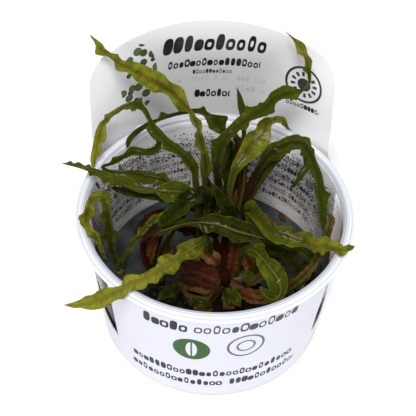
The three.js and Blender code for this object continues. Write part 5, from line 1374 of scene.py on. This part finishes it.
# Litter
# Loose bits of old leaf and petiole, and a few small shoots, caught between the stems and lying on the gel. They ride
# on the body. Each is its tone and its rows, as a leaf's, from end to end.
LITTER_LOBE_LENGTH = 3.4
LITTER = {
    "litter_brown": [
        (0.6, (-21, -2, 44, 1.2), (-23, -3, 35, 1.5), (-24.5, -1.5, 24, 1.2)),
        (0.85, (-4, -3, 38, 1.6), (-2, -3.5, 36, 2.7), (0.5, -4, 34, 2.7), (2.5, -2.5, 29, 1.6)),
        (0.3, (-14, -3, 30, 1.4), (-8.5, -3.5, 28, 2.6), (-2.5, -4.5, 27, 3), (3.5, -6.5, 25, 1.6)),
        (0.12, (-12, -6.5, 26, 1.4), (-6.5, -7.5, 25, 2.4), (-0.5, -9.5, 24, 2.2), (4, -10, 23, 1.2)),
        (0.45, (8, -2.5, 42, 1.4), (7.5, -5, 35, 2), (6.5, -5.5, 25, 1.6)),
        (0.7, (9.5, -2, 40, 1.4), (12.5, -4, 36, 2.8), (15.5, -3.5, 28, 2.8), (17, -6.5, 25, 1.4)),
        (0.55, (7, -8, 25, 1.2), (11.5, -11, 24, 1.6), (16.5, -11.5, 23.5, 1.7), (21, -9, 23.5, 1.2)),
        (0.6, (-6.5, -18.5, 22.5, 0.9), (-2.5, -19, 22.6, 1.5), (1, -19, 22.5, 0.9)),
        (0.5, (4.5, -17.5, 22.5, 0.8), (7.5, -17, 23, 1.4), (10, -15, 22.5, 0.8)),
        (0.75, (-11, -11, 24, 0.8), (-8.5, -14, 24, 1.1), (-4, -15.5, 24.5, 1.1), (-0.5, -14.5, 25, 1),
         (0.5, -12, 26, 0.7)),
        (0.7, (-12.5, -8.5, 24, 0.8), (-10, -11, 25, 1.2), (-7.5, -10, 25, 0.8)),
        (0.8, (17, 11.5, 29, 1.2), (19.5, 10.5, 28, 2), (22, 9, 27, 1.2)),
        (0.75, (19.5, 27.5, 21.8, 1), (22.5, 24.5, 22, 1.8), (25, 22, 21.8, 1.1)),
        (0.95, (26, 30.6, 21.8, 0.8), (27, 28.6, 22, 1.1), (28.3, 26.8, 21.8, 0.8)),
        (0.45, (5.5, 16.5, 58, 1), (4, 14.5, 53, 1.6), (4, 13, 49, 1.6), (5, 12, 45, 1)),
        (0.08, (6.5, 18.5, 74, 0.7), (8, 16, 64, 0.8), (9, 13, 54, 0.8), (9.5, 10, 43, 0.8)),
        (0.08, (10.5, 18.5, 64, 0.6), (10.5, 15, 52, 0.7), (10.5, 11, 42, 0.7)),
        (0.9, (-9.5, 7.5, 50, 0.9), (-8, 7, 49, 1.3), (-6.5, 6.5, 48, 0.9)),
        (0.8, (-17, 7.5, 25, 1.2), (-16.4, 6.4, 24, 1.8), (-16, 5.5, 23.5, 1.2)),
        (0.6, (7.5, 27.5, 56, 0.9), (6.5, 23.5, 49, 2), (8.5, 20, 42, 2.1), (8, 16.5, 38, 1.2)),
        (0.1, (8.5, 27.5, 60, 0.7), (10, 25, 52, 0.8), (11, 21.5, 44, 0.8)),
        (0.06, (12, 16, 44, 0.8), (15.5, 19.5, 52, 0.8), (19, 22, 58, 0.8), (23, 24, 63, 0.7), (27.5, 24.5, 66, 0.6)),
        (0.1, (-25, -3.5, 30, 1.1), (-23.5, 0.5, 38, 1.2), (-21, 2.5, 44, 1.1)),
        (0.7, (6.5, 10, 48, 0.7), (8, 14.5, 49, 1.4), (9, 18, 52, 0.7)),
        (0.7, (11, 13.5, 50, 0.7), (13.5, 16, 52, 1.3), (16, 18, 54, 0.7)),
    ],
    "litter_green": [
        (0.45, (-15.5, -1, 44, 0.9), (-18, 0.5, 36, 1), (-20.5, 3.5, 27, 1), (-22, 3, 22, 0.9)),
        (0.0, (4, 0, 45, 1.2), (4.5, -3.5, 36, 1.4), (5, -7.5, 23, 1.3)),
        (0.45, (16.5, -5.5, 34, 1.1), (14, -4.5, 28, 1.5), (13, -7, 24, 1.1)),
        (0.35, (28.5, -8, 23, 0.9), (33, -5.5, 25, 1.5), (37, -1, 27, 1.5), (40, 3.5, 29, 0.8)),
        (0.25, (27.5, -4.5, 22.3, 0.8), (32, -1.5, 23, 1.2), (35.5, 3, 24, 1.2), (38, 9, 24, 0.8)),
        (0.2, (-20, -16.5, 22.5, 0.7), (-17.5, -14, 24, 1.6), (-14, -12, 24.5, 1.6), (-11, -9.5, 23, 0.7)),
        (0.15, (-8, -17, 22.6, 0.7), (-4, -16.5, 23.5, 1.7), (0, -14, 24, 1.8), (3.5, -10.5, 23, 0.8)),
        (0.3, (5, -16.5, 22.5, 0.7), (6, -14, 24, 1.8), (9, -12, 24.5, 1.8), (11, -9.5, 23, 0.8)),
        (0.12, (-4, 12.5, 60, 1), (-1.5, 10.5, 53, 1.9), (0.5, 8.5, 46, 1.2)),
        (0.1, (4, 26.5, 62, 1), (2.5, 24.5, 56, 1.9), (1.5, 22.5, 49, 1.2)),
        (0.08, (-8, 6, 52, 1), (-3.5, 6, 48, 1.7), (2, 8.5, 44, 1.2)),
        (0.1, (4, 24, 54, 1.1), (5.5, 20.5, 48, 1.6), (5, 16.5, 42, 1.3)),
        (0.06, (-14, 2.5, 44, 1.1), (-9, 2.5, 42, 1.8), (-3, 4, 40, 1.9), (2, 4, 38, 1.2)),
        (0.04, (0.5, 3.5, 36, 1.2), (3.5, -2, 30, 1.8), (3.5, -6.5, 25, 1.4)),
        (0.2, (18.5, -1, 30, 1.1), (23, 1, 30, 1.9), (28.5, 3.5, 30, 1.9), (33, 6.5, 30, 1.2)),
        (0.35, (5.5, 30, 67, 0.8), (7.5, 29, 61, 1.8), (6, 27.5, 55, 2), (4, 26, 51, 0.9)),
        (0.3, (1.5, 27.5, 65, 0.8), (4, 25.5, 60, 1.7), (7.5, 24, 55, 1.8), (9, 23, 51, 0.9)),
        (0.12, (-4.5, 9.5, 52, 1), (-0.5, 7.5, 51, 2.2), (4.5, 7, 51, 2.2), (9, 6, 49, 1.1)),
        (0.2, (-11, 8.5, 54, 1), (-6.5, 6.5, 53, 2), (-2.5, 6, 52, 2), (0.5, 6, 50, 1)),
        (0.15, (3.5, 19.5, 54, 0.9), (6.5, 17.5, 50, 2), (7.5, 15, 46, 1)),
    ],
}
# How each kind looks: its material and slot, the lobes' depth and the ruffle as shares of the half width, how red its
# bits are at least, and the seed of its first bit. Dark bits are redder.
LITTER_LOOKS = {
    "litter_brown": (dry_leaf, "leaf_old", 0.16, 0.2, 0.4, 100),
    "litter_green": (green_leaf, "leaf_dark", 0.28, 0.36, 0.2, 140),
}
for name, bits in LITTER.items():
    material, slot, lobe_depth, ruffle, least_red, first_seed = LITTER_LOOKS[name]
    litter_points, litter_faces, litter_values, count = [], [], [], 0
    for seed, (tone, *rows) in enumerate(bits, first_seed):
        bit_points, bit_faces, values = leaf_surface(rows, LITTER_LOBE_LENGTH, lobe_depth, ruffle, seed, None)
        litter_points.append(bit_points)
        litter_faces += [[corner + count for corner in corners] for corners in bit_faces]
        litter_values.append([*values, np.full(len(bit_points), tone)])
        count += len(bit_points)
    across, _, blade_share, lobe, face, tone = (np.concatenate(value) for value in zip(*litter_values))
    litter = add_piece(name, np.concatenate(litter_points), litter_faces, material, slot)
    add_attributes(litter, {
        "across": across, "blade": blade_share, "lobe": lobe, "face": face, "tone": tone,
        "redness": np.clip(1 - 2.5 * tone, least_red, 1), "rib_light": np.zeros(count),
    })

# Condensation
# Fine water drops that have settled on the inside of the cup's wall, on its back half above the gel. Beta draws bunch
# them in the band's middle and keep most of them small.
DROPS = 4500
DROP_SIDES = 8
DROPS_ABOVE_GEL = 3
DROP_BAND = 28
DROP_SMALLEST = 0.1
DROP_RADIUS_SPAN = 0.34
LOW_DROPS = 12
LOW_DROP_SIZE = 0.7
DOME_RISE = 0.62
chance = np.random.default_rng(5)
drop_angle = np.radians(chance.uniform(8, 172, DROPS))
drop_z = GEL_TOP + DROPS_ABOVE_GEL + DROP_BAND * chance.beta(1.6, 1.2, DROPS)
drop_radius = DROP_SMALLEST + DROP_RADIUS_SPAN * chance.beta(1.3, 4.0, DROPS)
drop_radius *= np.where(drop_z < GEL_TOP + LOW_DROPS, LOW_DROP_SIZE, 1.0)
turn = np.linspace(0, 2 * np.pi, DROP_SIDES, endpoint=False)
# Each drop is a dome on the wall, sunk a little into it: two rings, each with its spread and its rise in drop radii,
# and a top. The points' columns are along the wall, up it and off it.
dome_rings = [
    np.stack([np.cos(turn) * spread, np.sin(turn) * spread, np.full(DROP_SIDES, rise)], -1)
    for spread, rise in ((1.0, -0.05), (0.72, 0.42))
]
dome = np.concatenate([*dome_rings, [(0, 0, DOME_RISE)]])
outwards = np.stack([np.cos(drop_angle), np.sin(drop_angle), np.zeros(DROPS)], -1)
sideways = np.stack([-np.sin(drop_angle), np.cos(drop_angle), np.zeros(DROPS)], -1)
foot = outwards * wall_inner(drop_z)[:, None] + np.stack([0 * drop_z, 0 * drop_z, drop_z], -1)
long_axis = chance.uniform(0.9, 1.5, DROPS)
drop_points = (
    foot[:, None]
    + sideways[:, None] * (dome[:, 0] * drop_radius[:, None])[..., None]
    + np.array([0, 0, 1.0]) * (dome[:, 1] * (drop_radius * long_axis)[:, None])[..., None]
    - outwards[:, None] * (dome[:, 2] * drop_radius[:, None])[..., None]
).reshape(-1, 3)
k = np.arange(DROP_SIDES)
k2 = (k + 1) % DROP_SIDES
top = 2 * DROP_SIDES
quads = np.stack([k2, k, k + DROP_SIDES, k2 + DROP_SIDES], -1)
tips = np.stack([k2 + DROP_SIDES, k + DROP_SIDES, np.full(DROP_SIDES, top)], -1)
starts = (np.arange(DROPS) * (top + 1))[:, None, None]
drop_faces = (quads + starts).reshape(-1, 4).tolist() + (tips + starts).reshape(-1, 3).tolist()
drop_faces += (k + starts[:, 0]).tolist()
# The drops are tinted grey as painted shade, so that they show dark on the wall.
water, _, _ = new_material(
    "condensation", Base_Color=(0.45, 0.47, 0.5, 1), Roughness=0.02, IOR=1.33, Transmission_Weight=1.0
)
add_piece("wall_condensation", drop_points, drop_faces, water, "condensation")
